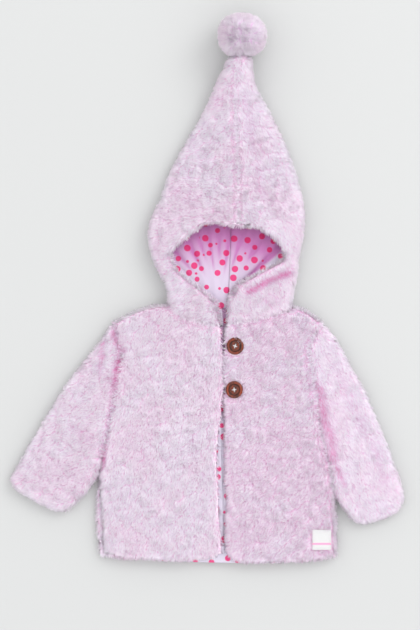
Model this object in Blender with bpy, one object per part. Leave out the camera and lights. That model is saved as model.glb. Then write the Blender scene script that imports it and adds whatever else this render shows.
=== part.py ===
"""A baby's plush jacket with a pointed hood and a pompom, laid flat on a table.

Frame: metres, +Z up, the table at z = 0, +Y towards the hood's tip and +X to the right as it is
looked down on. The origin is on the underside of the back panel, on its centre line, half way
between neck and hem. "right" and "left" in the names are the wearer's own, so the right front
lies at -X. All sizes below are millimetres; mm() turns them into metres.

The plush is thick: its walls hold the knitted ground and the standing pile.
"""

import math

import bmesh
import bpy
import numpy as np
from mathutils import Matrix, Vector
from mathutils.bvhtree import BVHTree

# Cloth
PLUSH = 8.0  # ground and pile together
LINING = 1.0  # printed cotton
SEAM = 0.3  # gap between pieces that are sewn together or lie on each other
LINING_BASE = PLUSH + SEAM  # the lining's underside, on the back panel
FRONT_BASE = LINING_BASE + LINING + SEAM  # the fronts' underside, on the lining
NECK_LIFT = 3.4  # the hood's layers raise the fronts at the neckline
NECK_LIFT_REACH = 45.0
EDGE_RADIUS = 6.0  # the pile rounds over at each cut edge
EDGE_DROP = 4.6
SEAM_DROP = 2.4  # the shallower groove along a seam
FOLD_UNDER_FRONT = 0.8  # how far a front's underside follows its folds
THINNEST_FRONT = 2.0
BACK_UNDER_DROP = 2.4  # how far the back's edges round over: underneath, at the hem and at the side
BACK_HEM_DROP = 2.0
BACK_SIDE_DROP = 1.6

# Linings
FACING_TUCK = 9.0  # how far the facing reaches under the right front
FACING_ROOM = 6.0  # how much further the right front is raised for it
LINING_INSET = 7.0  # the fronts come down onto the back this far inside the side seams
BACK_LINING_INSET = 21.0  # the back lining stops inside that
SHOULDER_TUCK = 6.0  # the back lining is narrower at the shoulder
SEAM_TURN = 5.0  # and ends below the shoulder seam
NAPE_HALF = 60.0  # but not this near the nape
LINING_HEM_SHOWS = 1.2  # the lining's hem past the back's own
LINING_SLACK = 0.9  # the hood's lining hangs this much clear of the plush over it

# Sleeves
SLEEVE_TOP = 16.6  # over both layers of the flattened tube
SLEEVE_SLIT = 1.0  # between the two layers
SLEEVE_GAP = 0.4  # to the body
SLEEVE_TRIM = 1.6  # its inner face is cut this much shorter at the armhole
SLEEVE_ROLL = 11.0  # how far in from its folds the sleeve is round
SLEEVE_FOLD_INSIDE = 0.6  # how far the inner face follows the folds
CUFF_UNDER_DROP = 2.4

# Hood
HOOD_FOLD_RADIUS = 10.0
HOOD_FOLD_INSIDE = 0.25  # how far the inner face follows the folds
NECK_TRIM = 1.8  # the hood's inner face is cut this much shorter at the neckline
NECK_SAG_FROM = 0.93  # from this row on the rows take the neckline's curve
HOOD_TIP = (28.8, 496.2, 29.5)

# Buttons, their seats in the pile and their loops
BUTTON_DIAMETER = 22.5
BUTTON_THICKNESS = 4.4
BUTTON_CENTRES = {"upper": (22.1, 122.2), "lower": (21.0, 65.6)}
SEAT_DEPTH = 3.6
HOLE_DIAMETER = 2.0
HOLE_SPACING = 3.6
SEAT_PROBE = 0.7  # the pile's height is read at this share of the button's radius
SEAT_CLEARANCE = 0.4
SEAT_TAB = 14.5  # from the button's centre to the end of the loop's groove
SEAT_CUT_HEIGHT = 30.0
LOOP_DIAMETER = 1.8
LOOP_RADIUS = 3.0  # of the loop's bend, round the button's thread
LOOP_GAP = 0.5  # from the loop's ends to the right front's edge

# Label
LABEL_WIDTH, LABEL_HEIGHT, LABEL_THICKNESS = 24.0, 26.0, 0.8
LABEL_CENTRE = (134.5, -129.0)

# Pompom
POMPOM_CENTRE = (31.9, 522.8, 33.6)
POMPOM_CORE = 27.0
POMPOM_PILE = 5.5
POMPOM_CELLS = 5  # locks along each edge of the cube that is blown up into the ball
POMPOM_BARE_ANGLE = 36.0  # degrees round the sewn end with no locks
POMPOM_FLOOR = 0.8
LOCK_FOOT = 0.8  # each lock's foot, as a share of its own face of the ball
LOCK_LEAN = 0.09
LOCK_SHORTEST = 0.72


def mm(value):
    return value * 0.001


def table(columns, *rows):
    """Rows of numbers as one array for each named column."""
    return dict(zip(columns.split(), np.array(rows, float).T))


def smooth(xs, ys):
    """A curve through the points that never overshoots them (monotone cubic)."""
    xs, ys = np.asarray(xs, float), np.asarray(ys, float)
    order = np.argsort(xs)
    xs, ys = xs[order], ys[order]
    run = np.diff(xs)
    slope = np.diff(ys) / run
    tangent = np.zeros(len(xs))
    tangent[0], tangent[-1] = slope[0], slope[-1]
    for i in range(1, len(xs) - 1):
        before, after = slope[i - 1], slope[i]
        if before * after > 0:
            near, far = 2 * run[i] + run[i - 1], run[i] + 2 * run[i - 1]
            tangent[i] = (near + far) / (near / before + far / after)

    def at(x):
        x = np.clip(np.asarray(x, float), xs[0], xs[-1])
        i = np.clip(np.searchsorted(xs, x) - 1, 0, len(run) - 1)
        t = (x - xs[i]) / run[i]
        rise = ys[i + 1] - ys[i]
        return (
            ys[i]
            + rise * t * t * (3 - 2 * t)
            + run[i] * t * (1 - t) * (tangent[i] * (1 - t) - tangent[i + 1] * t)
        )

    return at


def rounded(distance, radius):
    """0 at an edge, rising along a quarter circle to 1 at this radius from it."""
    inside = np.clip(np.asarray(distance, float) / radius, 0, 1)
    return np.sqrt(1 - (1 - inside) ** 2)


def fade(distance, reach):
    """1 at no distance, falling smoothly to 0 at this reach."""
    t = np.clip(np.asarray(distance, float) / reach, 0, 1)
    return 1 - t * t * (3 - 2 * t)


# ---------------------------------------------------------------- the cut of the body

# Shares of the side, from the shoulder to the hem, at which every body piece has a row. They lie
# close together at the shoulder, the underarm and the hem, where the pile rounds over.
UNDERARM = 0.310
LEVELS = np.array(
    [0, 0.007, 0.020, 0.068, 0.116, 0.164, 0.212, 0.258, 0.288, 0.304, UNDERARM]
    + list(np.linspace(0.37, 0.93, 9))
    + [0.980, 0.993, 1]
)
ARMHOLE = LEVELS[LEVELS <= UNDERARM]
BACK_LEVELS = np.concatenate([ARMHOLE, [0.37, 0.5, 0.63, 0.76, 0.88, 0.98, 0.993, 1]])

# Shares of a neckline from the front edge to the shoulder, then of the shoulder to its tip.
NECK_SHARES = np.array([0, 0.03, 0.09, 0.25, 0.42, 0.60, 0.77, 0.89, 0.96, 1])
SHOULDER_SHARES = np.array([0.3, 0.6, 0.85, 0.96, 1])
NAPE_SHARES = np.array([0.05, 0.14, 0.38, 0.68, 1])  # from the shoulder's neck end to the nape

NAPE = (13.0, 171.0)

SIDES = {
    "right": {
        "out": -1,
        "front": table(
            "y edge_x side_x",
            (152, 3.6, -135.9),
            (130, 4.8, -128.4),
            (113, 6.2, -122.9),
            (96, 7.1, -127.6),
            (75, 7.2, -132.4),
            (45, 5.4, -135.6),
            (6, 0.2, -142.4),
            (-29, -0.7, -149.6),
            (-60, 0.6, -151.4),
            (-100, 2.0, -149.2),
            (-154, 6.6, -146.0),
        ),
        "top": table(
            "share y",
            (0, 147),
            (0.11, 149.5),
            (0.23, 153.4),
            (0.35, 158.6),
            (0.44, 167.5),
            (0.49, 175.5),
            (0.60, 174.5),
            (0.75, 169.5),
            (0.88, 161),
            (1, 152),
        ),
        "neck_share": 0.49,
        "hem": table("share y", (0, -148), (0.1, -152), (0.4, -154), (0.8, -151.5), (1, -145)),
    },
    "left": {
        "out": 1,
        "front": table(
            "y edge_x side_x",
            (152, 11.0, 133.3),
            (137, 9.8, 124.6),
            (121, 8.8, 116.0),
            (104, 8.6, 118.8),
            (88, 8.8, 122.6),
            (58, 9.4, 127.2),
            (10, 10.2, 132.6),
            (-31, 10.6, 142.8),
            (-65, 12.4, 148.0),
            (-82, 13.6, 149.8),
            (-108, 12.0, 151.8),
            (-158, 11.4, 153.0),
        ),
        "top": table(
            "share y",
            (0, 149.5),
            (0.15, 152),
            (0.32, 156),
            (0.49, 161.5),
            (0.61, 167),
            (0.69, 173.5),
            (0.80, 170),
            (0.91, 163),
            (1, 153.4),
        ),
        "neck_share": 0.69,
        "hem": table(
            "share y", (0, -139), (0.02, -147), (0.07, -154.5), (0.2, -158), (0.6, -156.5), (1, -151)
        ),
    },
}

# The back shows beside the right front and below both hems.
BACK_SHOWS = table(
    "y beside_right",
    (160, 0),
    (-20, 0),
    (-60, 5),
    (-90, 9.5),
    (-125, 9),
    (-165, 5),
)
BACK_HEM = table(
    "share y", (0, -150), (0.08, -153.8), (0.3, -156.8), (0.55, -159.2), (0.8, -158.8), (1, -152.5)
)

# Soft folds: a ridge where rise is above 0 and a trough where it is below, along the straight
# line from one end to the other. Width is across it, to where it has faded out.
FOLDS = {
    "front_right": table(
        "x0 y0 x1 y1 width rise",
        (-108, 128, -124, 108, 16, -3.0),
        (-30, 20, -16, -70, 34, 1.0),
        (-96, -30, -70, -110, 40, 1.2),
        (-60, 120, -95, 60, 44, 1.2),
    ),
    "front_left": table(
        "x0 y0 x1 y1 width rise",
        (75, 95, 112, 12, 32, -2.2),
        (52, 60, 92, -40, 34, 1.4),
        (100, 110, 112, 60, 26, 1.5),
        (104, -10, 128, -90, 34, -1.6),
        (38, -90, 70, -140, 36, 1.2),
    ),
    "sleeve_right": table(
        "x0 y0 x1 y1 width rise",
        (-148, 118, -150, 84, 18, -3.6),
        (-140, 140, -126, 112, 14, -2.6),
        (-176, 96, -214, 18, 36, 1.6),
        (-236, -38, -205, -62, 26, -1.2),
        (-180, 20, -170, -30, 30, -1.6),
    ),
    "sleeve_left": table(
        "x0 y0 x1 y1 width rise",
        (150, 118, 196, 10, 30, -3.0),
        (176, 112, 226, 8, 28, 1.6),
        (196, 10, 206, -58, 28, -2.2),
        (140, 96, 158, 20, 26, 1.6),
    ),
    "hood_right": table(
        "x0 y0 x1 y1 width rise",
        (-30, 410, -4, 352, 38, 1.8),
        (-20, 330, -58, 312, 34, -1.6),
        (-22, 190, -58, 176, 26, -1.6),
    ),
    "hood_left": table(
        "x0 y0 x1 y1 width rise",
        (38, 446, 58, 306, 34, -3.4),
        (78, 400, 92, 310, 34, 1.6),
        (42, 193, 88, 224, 20, -4.0),
        (40, 176, 78, 186, 24, 1.6),
    ),
}


def folds_at(piece, x, y):
    """How far the piece's folds raise its outer face at these points."""
    found = np.zeros(np.broadcast(x, y).shape)
    rows = FOLDS[piece]
    for x0, y0, x1, y1, width, rise in zip(*(rows[c] for c in "x0 y0 x1 y1 width rise".split())):
        along = np.array([x1 - x0, y1 - y0])
        length = np.hypot(*along)
        share = ((x - x0) * along[0] + (y - y0) * along[1]) / length**2
        nearest = np.clip(share, 0, 1)
        off = np.hypot(x - x0 - nearest * along[0], y - y0 - nearest * along[1])
        middle = 1 - 0.5 * (2 * nearest - 1) ** 2
        found += rise * middle * fade(off, width / 2)
    return found


def front_point(side, share, level):
    """(x, y) on a front: share runs from its front edge to its side, level from top to hem."""
    cut = SIDES[side]
    share, level = np.broadcast_arrays(np.asarray(share, float), np.asarray(level, float))
    top = smooth(cut["top"]["share"], cut["top"]["y"])(share)
    hem = smooth(cut["hem"]["share"], cut["hem"]["y"])(share)
    y = top + (hem - top) * level
    edge = smooth(cut["front"]["y"], cut["front"]["edge_x"])(y)
    outside = smooth(cut["front"]["y"], cut["front"]["side_x"])(y)
    return edge + (outside - edge) * share, y


def neck_lift(side, share, level):
    """The fronts are lifted near the neckline, where the hood's seam is thick."""
    cut = SIDES[side]
    top = smooth(cut["top"]["share"], cut["top"]["y"])(share)
    _, y = front_point(side, share, level)
    along_neck = fade(np.maximum(share - 0.7 * cut["neck_share"], 0), 0.35)
    return NECK_LIFT * fade(top - y, NECK_LIFT_REACH) * along_neck


# ---------------------------------------------------------------- making walls


def new_object(name, bm, material):
    bmesh.ops.recalc_face_normals(bm, faces=bm.faces)
    mesh = bpy.data.meshes.new(name)
    bm.to_mesh(mesh)
    bm.free()
    mesh.materials.append(material)
    mesh.shade_smooth()
    made = bpy.data.objects.new(name, mesh)
    bpy.context.scene.collection.objects.link(made)
    return made


def grid_faces(bm, rows, flip=False):
    """Two triangles for each cell, split the same way on both faces of a wall."""
    for near, far in zip(rows, rows[1:]):
        for i in range(len(near) - 1):
            a, b, c, d = near[i], near[i + 1], far[i + 1], far[i]
            for corners in ((a, b, c), (a, c, d)):
                bm.faces.new(corners[::-1] if flip else corners)


def wall(name, outer, inner, material):
    """A closed wall between two grids of points, given as arrays of rows x columns x 3."""
    bm = bmesh.new()
    faces = [[[bm.verts.new(mm(p)) for p in row] for row in grid] for grid in (outer, inner)]
    out, within = faces
    grid_faces(bm, out)
    grid_faces(bm, within, flip=True)
    rims = (
        (out[0], within[0]),
        (out[-1], within[-1]),
        ([row[0] for row in out], [row[0] for row in within]),
        ([row[-1] for row in out], [row[-1] for row in within]),
    )
    for a, b in rims:
        for i in range(len(a) - 1):
            bm.faces.new((a[i], a[i + 1], b[i + 1]))
            bm.faces.new((a[i], b[i + 1], b[i]))
    return new_object(name, bm, material)


def tube(name, outer, inner, material):
    """A closed wall between two stacks of rings, open through the middle at both ends."""
    closed = [np.concatenate([grid, grid[:, :1]], axis=1) for grid in (outer, inner)]
    bm = bmesh.new()
    stacks = []
    for grid in closed:
        stack = [[bm.verts.new(mm(p)) for p in row[:-1]] for row in grid]
        stacks.append([row + row[:1] for row in stack])
    grid_faces(bm, stacks[0])
    grid_faces(bm, stacks[1], flip=True)
    for end in (0, -1):
        a, b = stacks[0][end], stacks[1][end]
        for i in range(len(a) - 1):
            bm.faces.new((a[i], a[i + 1], b[i + 1]))
            bm.faces.new((a[i], b[i + 1], b[i]))
    return new_object(name, bm, material)


def points(x, y, z):
    return np.stack(np.broadcast_arrays(x, y, z), axis=-1).astype(float)


def span(x, y, axis):
    """Distance of each grid point along its row or column from the first, and to the last."""
    step = np.hypot(np.diff(x, axis=axis), np.diff(y, axis=axis))
    start = np.zeros_like(np.take(x, [0], axis=axis))
    gone = np.concatenate([start, np.cumsum(step, axis=axis)], axis=axis)
    return gone, np.take(gone, [-1], axis=axis) - gone


def edge_drop(distance, drop=EDGE_DROP):
    return drop * (1 - rounded(distance, EDGE_RADIUS))


# ---------------------------------------------------------------- the body


def front_shares(side):
    neck = SIDES[side]["neck_share"]
    return np.concatenate([NECK_SHARES * neck, neck + SHOULDER_SHARES * (1 - neck)])


def make_front(side, material):
    """One front, lying on the back's lining, from the neckline and shoulder to the hem."""
    name = f"front_{side}"
    share, level = front_shares(side)[None, :], LEVELS[:, None]
    x, y = front_point(side, share, level)
    from_edge, from_side = span(x, y, 1)
    from_top, from_hem = span(x, y, 0)
    folds = folds_at(name, x, y)
    lift = neck_lift(side, share, level)
    facing = (LINING + SEAM) * (from_edge < FACING_TUCK + FACING_ROOM) if side == "right" else 0
    # Past the lining's edge the front comes down onto the back itself.
    closing = (LINING + SEAM) * fade(from_side, LINING_INSET)
    under = FRONT_BASE + lift + facing - closing + np.maximum(folds, 0) * FOLD_UNDER_FRONT
    from_cut = np.minimum(np.minimum(from_edge, from_side), from_hem)
    drop = np.maximum(edge_drop(from_cut), edge_drop(from_top, SEAM_DROP))
    over = FRONT_BASE + PLUSH + lift + folds - drop
    under = np.minimum(under, over - THINNEST_FRONT)
    return wall(name, points(x, y, over), points(x, y, under), material)


def back_grid():
    """(x, y) of the back: rows by level, columns across from the right side to the left."""
    lines = []
    for side in ("right", "left"):
        neck = SIDES[side]["neck_share"]
        shoulder = neck + (1 - neck) * SHOULDER_SHARES[::-1]
        top_x, top_y = front_point(side, np.append(shoulder, neck), 0.0)
        nape_x = top_x[-1] + (NAPE[0] - top_x[-1]) * NAPE_SHARES
        nape_y = top_y[-1] + (NAPE[1] - top_y[-1]) * NAPE_SHARES
        lines.append((np.append(top_x, nape_x), np.append(top_y, nape_y)))
    top_x, top_y = (np.concatenate([lines[0][n], lines[1][n][-2::-1]]) for n in (0, 1))
    share = (top_x - top_x[0]) / (top_x[-1] - top_x[0])
    level = BACK_LEVELS[:, None]
    # At its sides the back's rows are the fronts' own, down to just above the hem.
    ends = [SIDES[side]["hem"]["y"][-1] for side in ("right", "left")]
    own_hem = ends[0] + (ends[1] - ends[0]) * share
    hem = smooth(BACK_HEM["share"], BACK_HEM["y"])(share)
    y = top_y + (own_hem - top_y) * level + (hem - own_hem) * level**8
    sides = []
    for side in ("right", "left"):
        _, side_y = front_point(side, 1.0, level)
        front = SIDES[side]["front"]
        side_x = smooth(front["y"], front["side_x"])(side_y)
        if side == "right":
            side_x = side_x - smooth(BACK_SHOWS["y"], BACK_SHOWS["beside_right"])(side_y)
        sides.append(side_x)
    return sides[0] + (sides[1] - sides[0]) * share, y


def make_back(material):
    """The back, flat on the table."""
    x, y = back_grid()
    from_right, from_left = span(x, y, 1)
    from_top, from_hem = span(x, y, 0)
    nearest = np.minimum(np.minimum(from_right, from_left), from_hem)
    under = edge_drop(nearest, BACK_UNDER_DROP)
    over = PLUSH - edge_drop(from_hem, BACK_HEM_DROP) - edge_drop(from_right, BACK_SIDE_DROP)
    return wall("back", points(x, y, over), points(x, y, under), material)


# ---------------------------------------------------------------- sleeves

SLEEVES = {
    "right": {
        "outer": table(
            "t x y",
            (0, -136.4, 152.3),
            (0.1, -150, 131.5),
            (0.2, -166, 111.5),
            (0.32, -185, 87),
            (0.45, -204.5, 59.5),
            (0.58, -220, 34),
            (0.7, -237, 6),
            (0.82, -252, -19.5),
            (0.92, -263, -38),
            (1, -270, -51),
        ),
        "inner": table(
            "t x y",
            (0, -135.2, 60),
            (0.1, -136.6, 42),
            (0.2, -139.4, 22),
            (0.32, -144.2, 0),
            (0.45, -148.6, -19),
            (0.58, -153, -36),
            (0.7, -157, -50),
            (0.82, -166, -63),
            (0.92, -179, -76),
            (1, -195.5, -92),
        ),
        "cuff_bow": (-3.1, -5.7),
    },
    "left": {
        "outer": table(
            "t x y",
            (0, 134.0, 152.6),
            (0.1, 147, 140.5),
            (0.2, 158, 123.5),
            (0.32, 172, 96.5),
            (0.45, 188.5, 68.5),
            (0.58, 202, 36.5),
            (0.7, 215, 7.5),
            (0.82, 228, -27.5),
            (0.92, 238, -53),
            (1, 243, -74),
        ),
        "inner": table(
            "t x y",
            (0, 127, 58),
            (0.1, 128.6, 42),
            (0.2, 131.4, 22),
            (0.32, 136, -2),
            (0.45, 140.6, -20),
            (0.58, 145.8, -38),
            (0.7, 148, -54),
            (0.82, 150.4, -69),
            (0.92, 159, -84),
            (1, 171.5, -97.5),
        ),
        "cuff_bow": (0.6, -15.5),
    },
}

# Places across the sleeve, from the outer fold to the inner one: the armhole's own rows, so that
# the sleeve's head lies against the body all the way.
TUBE_SHARES = ARMHOLE / UNDERARM
SLEEVE_STATIONS = np.array(
    [0, 0.025, 0.08, 0.15, 0.23, 0.33, 0.45, 0.57, 0.69, 0.81, 0.91, 0.975, 1]
)


def sleeve_side(side, t, s):
    """(x, y) on a sleeve, at t from armhole to cuff and s from the outer fold to the inner."""
    cut = SLEEVES[side]
    outer_x, outer_y = (smooth(cut["outer"]["t"], cut["outer"][axis])(t) for axis in "xy")
    inner_x, inner_y = (smooth(cut["inner"]["t"], cut["inner"][axis])(t) for axis in "xy")
    x = outer_x + (inner_x - outer_x) * s
    y = outer_y + (inner_y - outer_y) * s
    # The sleeve's head follows the body's armhole.
    body_x, body_y = front_point(side, 1.0, UNDERARM * np.clip(s, 0, 1))
    straight_x = cut["outer"]["x"][0] + (cut["inner"]["x"][0] - cut["outer"]["x"][0]) * s
    straight_y = cut["outer"]["y"][0] + (cut["inner"]["y"][0] - cut["outer"]["y"][0]) * s
    head = fade(t, 0.3)
    x = x + (body_x + SIDES[side]["out"] * SLEEVE_GAP - straight_x) * head
    y = y + (body_y - straight_y) * head
    # The cuff is cut in a bow.
    bow = (1 - (2 * s - 1) ** 4) * t**7
    return x + cut["cuff_bow"][0] * bow, y + cut["cuff_bow"][1] * bow


def clear_of_body(side, x, y):
    """Moves points out until they lie just beside the body."""
    front = SIDES[side]["front"]
    out = SIDES[side]["out"]
    edge = smooth(front["y"], front["side_x"])(y) * out
    if side == "right":
        edge = edge + smooth(BACK_SHOWS["y"], BACK_SHOWS["beside_right"])(y)
    hem_y = SIDES[side]["hem"]["y"][-1]
    return np.where(y > hem_y, np.maximum(x * out, edge + SLEEVE_GAP), x * out) * out


def make_sleeve(side, material):
    """A tube folded flat, open at the armhole and the cuff."""
    name = f"sleeve_{side}"
    t = SLEEVE_STATIONS[:, None]
    ends = [sleeve_side(side, t, s) for s in (0.0, 1.0)]
    width = np.hypot(ends[1][0] - ends[0][0], ends[1][1] - ends[0][1])
    along = np.hypot(*(np.diff(np.mean(np.stack(ends), axis=0), axis=1)))
    length = np.concatenate([[0], np.cumsum(along)])[:, None]
    grids = []
    middle = SLEEVE_TOP / 2
    for inset in (0.0, PLUSH):  # the outer face, then the inner one
        rings = []
        for upper, shares in ((True, TUBE_SHARES), (False, TUBE_SHARES[-2:0:-1])):
            s = inset / width + shares[None, :] * (1 - 2 * inset / width)
            x, y = sleeve_side(side, t, s)
            x = clear_of_body(side, x, y)
            if inset:
                x = x + SIDES[side]["out"] * SLEEVE_TRIM * fade(t, 0.15)
            from_fold = np.minimum(s, 1 - s) * width
            raised = folds_at(name, x, y)
            between = (shares[None, :] > 0) & (shares[None, :] < 1)
            if inset:
                z = middle + SLEEVE_SLIT / 2 * between * (1 if upper else -1)
                z = z + np.maximum(raised, 0) * SLEEVE_FOLD_INSIDE * between * upper
            elif upper:
                drop = np.maximum(edge_drop(length, SEAM_DROP), edge_drop(length[-1] - length))
                z = middle + (middle + raised - drop) * rounded(from_fold, SLEEVE_ROLL)
            else:
                drop = edge_drop(length[-1] - length, CUFF_UNDER_DROP)
                z = middle - (middle - drop) * rounded(from_fold, EDGE_RADIUS)
            rings.append(points(x, y, z))
        grids.append(np.concatenate(rings, axis=1))
    return tube(name, grids[0], grids[1], material)


# ---------------------------------------------------------------- the hood

# Rows run from the tip (v = 0) to the neckline (v = 1); the face opening starts at FOREHEAD.
FOREHEAD = 0.58
HOOD_ROWS = np.array(
    [0, 0.02, 0.06, 0.11, 0.17, 0.23, 0.29, 0.35, 0.41, 0.46, 0.505, 0.545]
    + [FOREHEAD, 0.605, 0.63, 0.67, 0.72, 0.77, 0.81, 0.845, 0.88, 0.92, 0.955, 0.975]
    + [0.986, 0.994, 1]
)
HOOD_UPPER = NECK_SHARES  # so that the hood meets the fronts point for point
HOOD_LOWER = np.array([0.97, 0.88, 0.6, 0.3, 0])

CROWN_SEAM = table(
    "v x y",
    (0, 28.8, 496.2),
    (0.05, 24.4, 482),
    (0.1, 21.4, 468),
    (0.17, 21.6, 446),
    (0.24, 22.6, 420),
    (0.34, 24.7, 385),
    (0.44, 26, 343),
    (0.52, 26, 305),
    (FOREHEAD, 26, 276),
)
BACK_SEAM = table(
    "v x y",
    (0, 28.8, 496.2),
    (0.05, 26.5, 482),
    (0.1, 24.5, 468),
    (0.17, 23.2, 446),
    (0.24, 22.2, 420),
    (0.34, 21, 385),
    (0.44, 20, 345),
    (0.52, 19, 318),
    (0.58, 18, 300),
    (0.67, 17, 277),
    (0.77, 16, 249),
    (0.88, 14.8, 216),
    (0.955, 13.7, 189.5),
    (1, 13, 171),
)
HOOD_EDGES = {
    "right": {
        "lip": table(
            "v x y",
            (0.63, -2.6, 282.4),
            (0.67, -16, 280.6),
            (0.72, -33, 269),
            (0.77, -50.5, 254),
            (0.81, -60.5, 243.5),
            (0.845, -59, 231),
            (0.88, -52, 219),
            (0.92, -34, 204.5),
            (0.955, -12, 188.5),
            (0.975, -2.6, 179),
        ),
        "side": table(
            "v x y",
            (0, 15.5, 494.5),
            (0.05, 8.5, 480.5),
            (0.1, 0.8, 467),
            (0.17, -8.2, 445),
            (0.24, -21.5, 418.5),
            (0.34, -42, 384),
            (0.44, -63, 344),
            (0.52, -71, 321),
            (0.58, -75.5, 307),
            (0.605, -79, 303.5),
            (0.63, -82, 297),
            (0.67, -86.5, 286),
            (0.72, -89.5, 271),
            (0.77, -88.9, 256),
            (0.81, -85.8, 244.5),
            (0.845, -81.8, 232.5),
            (0.88, -76, 219),
            (0.92, -68, 207),
            (0.955, -64.2, 196),
            (0.975, -63.8, 189),
        ),
    },
    "left": {
        "lip": table(
            "v x y",
            (0.63, 42, 277.5),
            (0.67, 54, 275),
            (0.72, 66, 267.5),
            (0.77, 79, 256.3),
            (0.81, 87, 243.5),
            (0.845, 84, 233.5),
            (0.88, 67, 224.8),
            (0.92, 44, 213),
            (0.955, 25, 202),
            (0.975, 15.5, 186),
        ),
        "side": table(
            "v x y",
            (0, 42.5, 494),
            (0.05, 44.2, 480),
            (0.1, 45.5, 466),
            (0.17, 54, 448.5),
            (0.24, 69.5, 420),
            (0.34, 86.5, 385),
            (0.44, 101, 345),
            (0.52, 107.5, 320),
            (0.58, 110.5, 306),
            (0.63, 111.5, 296),
            (0.67, 111.9, 286),
            (0.72, 111.3, 272.5),
            (0.77, 108.5, 258),
            (0.81, 105.2, 246),
            (0.845, 103.2, 233.5),
            (0.88, 102.4, 221),
            (0.92, 101, 208),
            (0.955, 98.5, 196),
            (0.975, 96.8, 187),
        ),
    },
}
# Height of the upper layer at its front edge and at the side, and of the underside.
HOOD_HEIGHTS = table(
    "v top side_top floor",
    (0, 43, 39, 16),
    (0.05, 40, 35, 13),
    (0.1, 35.5, 30, 9),
    (0.17, 30, 23.5, 3.5),
    (0.24, 26, 19.5, 0),
    (0.34, 22, 17.6, 0),
    (0.42, 21.5, 18.5, 0),
    (0.5, 27, 22, 0),
    (0.58, 35, 23.5, 0),
    (0.67, 34, 24, 0),
    (0.77, 28, 24, 0),
    (0.845, 25, 24, 0),
    (0.92, 24, 24, 0),
    (0.975, 23.2, 23, 0),
    (1, 21, 21, 0),
)


def hood_lines(side, v):
    """The row's ends: its front edge, its fold at the side and its end at the back seam."""
    edges = HOOD_EDGES[side]
    out = SIDES[side]["out"]
    neck_share = SIDES[side]["neck_share"]
    centre = front_point(side, 0.0, 0.0)
    shoulder = front_point(side, neck_share, 0.0)
    lines = {}
    for number, axis in enumerate("xy"):
        lip_v = np.concatenate([CROWN_SEAM["v"], edges["lip"]["v"], [1]])
        lip = np.concatenate([CROWN_SEAM[axis], edges["lip"][axis], [float(centre[number])]])
        side_v = np.concatenate([edges["side"]["v"], [1]])
        fold = np.concatenate([edges["side"][axis], [float(shoulder[number])]])
        gap = out * SEAM / 2 if axis == "x" else 0
        lines["front_" + axis] = smooth(lip_v, lip)(v) + gap * (v <= FOREHEAD + 0.001)
        lines["side_" + axis] = smooth(side_v, fold)(v)
        lines["back_" + axis] = smooth(BACK_SEAM["v"], BACK_SEAM[axis])(v) + gap
    return lines


def neckline_sag(side, share):
    """How far the neckline lies from the straight line between its two ends."""
    x, y = front_point(side, share * SIDES[side]["neck_share"], 0.0)
    ends = [front_point(side, s * SIDES[side]["neck_share"], 0.0) for s in (0.0, 1.0)]
    straight_x = ends[0][0] + (ends[1][0] - ends[0][0]) * share
    straight_y = ends[0][1] + (ends[1][1] - ends[0][1]) * share
    return x - straight_x, y - straight_y


def hood_layer(side, v, share, depth, upper, roll=0.0):
    """Points of a hood half, this deep inside its outer face.

    share runs from the front edge (or the back seam, in the lower layer) to the side fold. roll
    carries the front edge on past its own line, as the lining does at the face opening.
    """
    lines = hood_lines(side, v)
    start = "front" if upper else "back"
    x0, y0 = lines[start + "_x"], lines[start + "_y"]
    x1, y1 = lines["side_x"], lines["side_y"]
    width = np.hypot(x1 - x0, y1 - y0)
    reach = (width - depth) / width
    place = share * reach - roll * (1 - share) ** 3 / width
    x = x0 + (x1 - x0) * place
    y = y0 + (y1 - y0) * place
    if upper:
        weight = 1 - fade(v - NECK_SAG_FROM, 1 - NECK_SAG_FROM)
        sag_x, sag_y = neckline_sag(side, np.clip(place, 0, 1))
        x, y = x + sag_x * weight, y + sag_y * weight
    y = y + (SEAM + (NECK_TRIM if depth and upper else 0.1)) * (v > 0.9999)
    from_fold = (1 - share) * (width - depth)
    radius = np.maximum(np.minimum(HOOD_FOLD_RADIUS, 0.9 * width) - depth, 1.5)
    names = ("top", "side_top", "floor")
    heights = {name: smooth(HOOD_HEIGHTS["v"], HOOD_HEIGHTS[name])(v) for name in names}
    middle = (heights["side_top"] + heights["floor"]) / 2
    if upper:
        z = heights["side_top"] + (heights["top"] - heights["side_top"]) * (1 - share**1.6)
        z = z + folds_at(f"hood_{side}", x, y) * (1 if depth == 0 else HOOD_FOLD_INSIDE)
        if depth == 0:
            crown = v < FOREHEAD - 0.001
            from_front = share * width
            z = z - np.where(crown, edge_drop(from_front, SEAM_DROP), edge_drop(from_front))
            z = z - SEAM_DROP * fade(v * 500, EDGE_RADIUS)
            z = z - SEAM_DROP * fade((1 - v) * 700, EDGE_RADIUS)
        z = middle + (z - depth - middle) * rounded(from_fold, radius)
    else:
        flat = np.minimum(radius, 6)
        z = middle + (heights["floor"] + depth - middle) * rounded(from_fold, flat)
    return points(x, y, z)


def make_hood(side, material):
    """Half of the hood: over from the crown seam, round the side, and under to the back seam."""
    v = HOOD_ROWS[:, None]
    faces = []
    for depth in (0.0, PLUSH):
        over = hood_layer(side, v, HOOD_UPPER[None, :], depth, True)
        under = hood_layer(side, v, HOOD_LOWER[None, :], depth, False)
        faces.append(np.concatenate([over, under], axis=1))
    return wall(f"hood_{side}", faces[0], faces[1], material)


# ---------------------------------------------------------------- linings

LINING_ROWS = np.array([0.505, 0.545, FOREHEAD, 0.605, 0.63, 0.67, 0.72, 0.77, 0.81, 0.845, 0.88])
LINING_ROWS = np.concatenate([LINING_ROWS, [0.92, 0.955, 0.975, 0.99, 1]])
LINING_UPPER = np.array([0, 0.06, 0.3, 0.6, 0.85, 1])
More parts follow.
